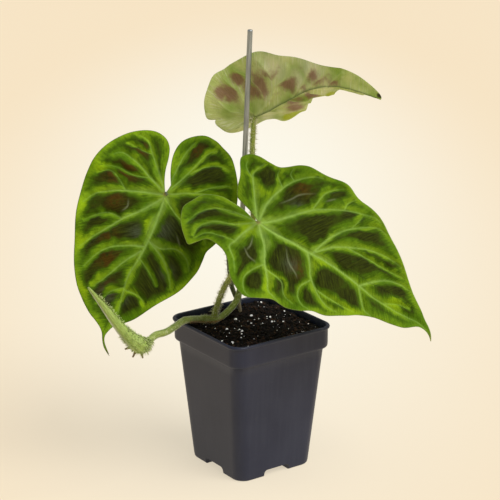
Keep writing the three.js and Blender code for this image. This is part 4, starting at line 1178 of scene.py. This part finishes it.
def make_soil():
    """A square grid drawn in to the pot's round corners, with a skirt that goes down to the floor."""
    count = SOIL_GRID
    u, v = np.meshgrid(np.linspace(-1, 1, count), np.linspace(-1, 1, count))
    angle = np.arctan2(v, u)
    square = 1 / np.maximum(np.abs(np.cos(angle)), np.abs(np.sin(angle)))
    reach = np.hypot(u, v) * soil_reach(angle, SOIL_HALF, CORNER_RADIUS - 1) / square
    x, y = reach * np.cos(angle), reach * np.sin(angle)
    z = soil_height(x, y, np.random.default_rng(SOIL_SEED))
    top = np.stack([x, y, z], -1).reshape(-1, 3)
    index = np.arange(count * count).reshape(count, count)
    rim = np.concatenate([index[0, :-1], index[:-1, -1], index[-1, :0:-1], index[:0:-1, 0]])
    rings, levels = [], [rim]
    for height, half in SOIL_SKIRT:
        rings.append(top[rim] * [half / SOIL_HALF, half / SOIL_HALF, 0] + [0, 0, height])
        levels.append(np.arange(len(rim)) + len(top) + len(rim) * (len(rings) - 1))
    skirt = [np.stack([above, below, np.roll(below, -1), np.roll(above, -1)], 1)
             for above, below in zip(levels, levels[1:])]
    points = np.vstack([top, *rings, [[0, 0, SOIL_SKIRT[-1][0]]]])
    faces = [grid_faces(count, count), *skirt, fan(len(points) - 1, levels[-1], True)]
    make_piece("soil_bed", place_pot(points), faces, [soil_finish()], ["soil"])


def icosahedron():
    """Twelve corners on the unit sphere at golden-section places, and its twenty faces."""
    g = (1 + 5**0.5) / 2
    corners = [(-1, g, 0), (1, g, 0), (-1, -g, 0), (1, -g, 0), (0, -1, g), (0, 1, g), (0, -1, -g),
               (0, 1, -g), (g, 0, -1), (g, 0, 1), (-g, 0, -1), (-g, 0, 1)]
    faces = [(0, 11, 5), (0, 5, 1), (0, 1, 7), (0, 7, 10), (0, 10, 11), (1, 5, 9), (5, 11, 4), (11, 10, 2),
             (10, 7, 6), (7, 1, 8), (3, 9, 4), (3, 4, 2), (3, 2, 6), (3, 6, 8), (3, 8, 9), (4, 9, 5),
             (2, 4, 11), (6, 2, 10), (8, 6, 7), (9, 8, 1)]
    return unit(np.array(corners, float)), np.array(faces)


def scatter(name, places, sizes, material, rng, tones, flatness=0.75):
    """Small crumbs: each is an icosahedron with every corner pushed in or out at random, stretched,
    turned at random and set at its place."""
    corners, faces = icosahedron()
    count = len(places)
    shape = corners[None] * rng.uniform(0.65, 1.25, (count, 12, 1)) * rng.uniform(0.6, 1.3, (count, 1, 3))
    axis = unit(rng.normal(size=(count, 3)))
    turn = rng.uniform(0, 2 * np.pi, count)[:, None, None]
    cross = np.cross(axis[:, None], shape)
    dot = (axis[:, None] * shape).sum(-1, keepdims=True)
    shape = shape * np.cos(turn) + cross * np.sin(turn) + axis[:, None] * dot * (1 - np.cos(turn))
    shape = shape * [1, 1, flatness] * sizes[:, None, None] + places[:, None]
    all_faces = (faces[None] + 12 * np.arange(count)[:, None, None]).reshape(-1, 3)
    make_piece(name, place_pot(shape.reshape(-1, 3)), [all_faces], [material],
               attributes={"tone": np.repeat(tones, 12)}, smooth=False)


def soil_places(count, rng, lift):
    """Random places on the soil's top, clear of the stem and of what stands in the soil."""
    half = SOIL_HALF - GRAIN_INSET
    spot = rng.uniform(-1, 1, (count, 2)) * half
    spot = spot[np.hypot(*spot.T) < soil_reach(np.arctan2(spot[:, 1], spot[:, 0]), half, CORNER_RADIUS - 2)]
    height = soil_height(*spot.T, np.random.default_rng(SOIL_SEED))
    x, y = to_plant(*spot.T)
    stem, _ = even_line(STEM_LINE[4:12], 60)
    clear = nearest_on(x, y, stem[:, :2])[0] > GRAIN_CLEAR_OF_STEM
    for foot in FEET:
        clear &= np.hypot(x - foot[0], y - foot[1]) > GRAIN_CLEAR_OF_FEET
    return np.column_stack([spot, height + lift])[clear]


def make_grains():
    """Loose crumbs, white perlite and brown fibres on the soil. Few of them are large."""
    rng = np.random.default_rng(19)
    crumbs = soil_places(CRUMBS, rng, 0.2)
    sizes = CRUMB_SIZES[0] + CRUMB_SIZES[1] * rng.random(len(crumbs)) ** 4
    scatter("soil_crumbs", crumbs, sizes, crumb_finish(), rng, rng.random(len(crumbs)) ** 5)
    perlite = soil_places(PERLITE, rng, 0.6)
    sizes = PERLITE_SIZES[0] + PERLITE_SIZES[1] * rng.random(len(perlite)) ** 4
    scatter("soil_perlite", perlite, sizes, perlite_finish(), rng, np.ones(len(perlite)))
    roots = soil_places(FIBRES, rng, 0.5)
    count = len(roots)
    angle = rng.uniform(0, 2 * np.pi, count)
    direction = unit(np.stack([np.cos(angle), np.sin(angle), rng.uniform(-0.05, 0.25, count)], 1))
    lengths, thickness = rng.uniform(1.5, 5.5, count), rng.uniform(0.12, 0.34, count)
    points, faces, share = needles(roots, direction, lengths, thickness, 0.1)
    points[:, :2] = np.clip(points[:, :2], 0.8 - SOIL_HALF, SOIL_HALF - 0.8)
    fibre = hair_finish("soil_fibres", (64, 46, 34), (120, 90, 64))
    make_piece("soil_fibres", place_pot(points), faces, [fibre], (), {"tip": share})


# Stage

CAMERA_ELEVATION = 17.68
CAMERA_DISTANCE = 1.4828
CAMERA_LENS = 127.9
CAMERA_TARGET = (-0.62, 189.17)
SENSOR_WIDTH = 36
FLOOR_SIZE = 14.0
FLOOR_GLOW = 0.68
FLOOR_POOL = (0.4, 1.35, 1)  # half sizes of the pale pool of light, right and back, in metres
POOL_BACK = 0.9
WORLD_LIGHT = 0.4
SUN_LIGHT, SUN_ANGLE = 2.9, 50
SUN_FROM = (0.7, 0.4, 1.0)  # from the right, the front and above


def make_stage():
    """The camera at the picture's place, a plain pale floor, and soft light from above and in front."""
    elevation = np.radians(CAMERA_ELEVATION)
    right = np.array([np.cos(PLANT_TURN), np.sin(PLANT_TURN), 0])
    front = np.array([np.sin(PLANT_TURN), -np.cos(PLANT_TURN), 0])
    up = np.array([0, 0, 1.0])
    toward_camera = front * np.cos(elevation) + up * np.sin(elevation)
    target = POT_MIDDLE + (right * CAMERA_TARGET[0] + up * CAMERA_TARGET[1]) * MM
    camera = add_object("camera", bpy.data.cameras.new("camera"))
    camera.data.lens = CAMERA_LENS
    camera.data.sensor_width = SENSOR_WIDTH
    camera.data.clip_end = 50
    camera.location = Vector(target + toward_camera * CAMERA_DISTANCE)
    camera.rotation_euler = Vector(toward_camera).to_track_quat("Z", "Y").to_euler()
    scene = bpy.context.scene
    scene.camera = camera
    scene.view_settings.view_transform = "Standard"

    square = np.array([[-1, -1, 0], [1, -1, 0], [1, 1, 0], [-1, 1, 0]]) * FLOOR_SIZE
    floor = plain_mesh("floor", square, [np.arange(4)[None, :]])
    # Painted light: the floor glows with its own colour at FLOOR_GLOW and keeps only the rest as its surface
    # colour, so shadows cast on it stay faint. Its paler middle is a painted pool of light.
    f = Finish("floor_cream", None, Roughness=0.9, Specular_IOR_Level=0.0, Emission_Strength=FLOOR_GLOW)
    pool = target - front * np.cos(elevation) * POOL_BACK
    from_pool = f.value("ShaderNodeMapping", {"vector_type": "TEXTURE"},
                        {"Vector": f.place(), "Location": (pool[0], pool[1], 0),
                         "Rotation": (0, 0, PLANT_TURN), "Scale": FLOOR_POOL})
    away = f.value("ShaderNodeVectorMath", {"operation": "LENGTH"}, {0: from_pool}, "Value")
    f.painted = f.mix(f.step(away, 0.0, 1.1), (249, 246, 233), (243, 225, 195))
    f.feed(f.surface["Emission Color"], f.painted)
    f.paint((FLOOR_GLOW, (0, 0, 0)))
    floor.data.materials.append(f.material)

    scene.world = bpy.data.worlds.new("studio")
    scene.world.use_nodes = True
    background = scene.world.node_tree.nodes["Background"]
    background.inputs["Color"].default_value = (1.0, 0.99, 0.975, 1)
    background.inputs["Strength"].default_value = WORLD_LIGHT
    sun = add_object("sun", bpy.data.lights.new("sun", "SUN"))
    sun.data.energy = SUN_LIGHT
    sun.data.angle = np.radians(SUN_ANGLE)
    sun.data.color = (1.0, 0.99, 0.97)
    from_side = right * SUN_FROM[0] + front * SUN_FROM[1] + up * SUN_FROM[2]
    sun.rotation_euler = Vector(from_side).to_track_quat("Z", "Y").to_euler()


def main():
    """Makes every piece and the stage. The top leaf shares the right one's upper face."""
    uppers = {
        "left": velvet_upper("blade_left_upper", (80, 118, 8), (132, 166, 22), (146, 178, 86), (58, 72, 20)),
        "right": velvet_upper("blade_right_upper", (78, 114, 9), (122, 154, 22), (150, 182, 90),
                              (140, 156, 84))}
    under = pale_under("blade_under")
    for side, leaf in LEAVES.items():
        make_leaf(side, leaf, uppers.get(side, uppers["right"]), under)
    make_stalks()
    make_shoot()
    make_pot()
    make_soil()
    make_grains()
    make_stage()


main()
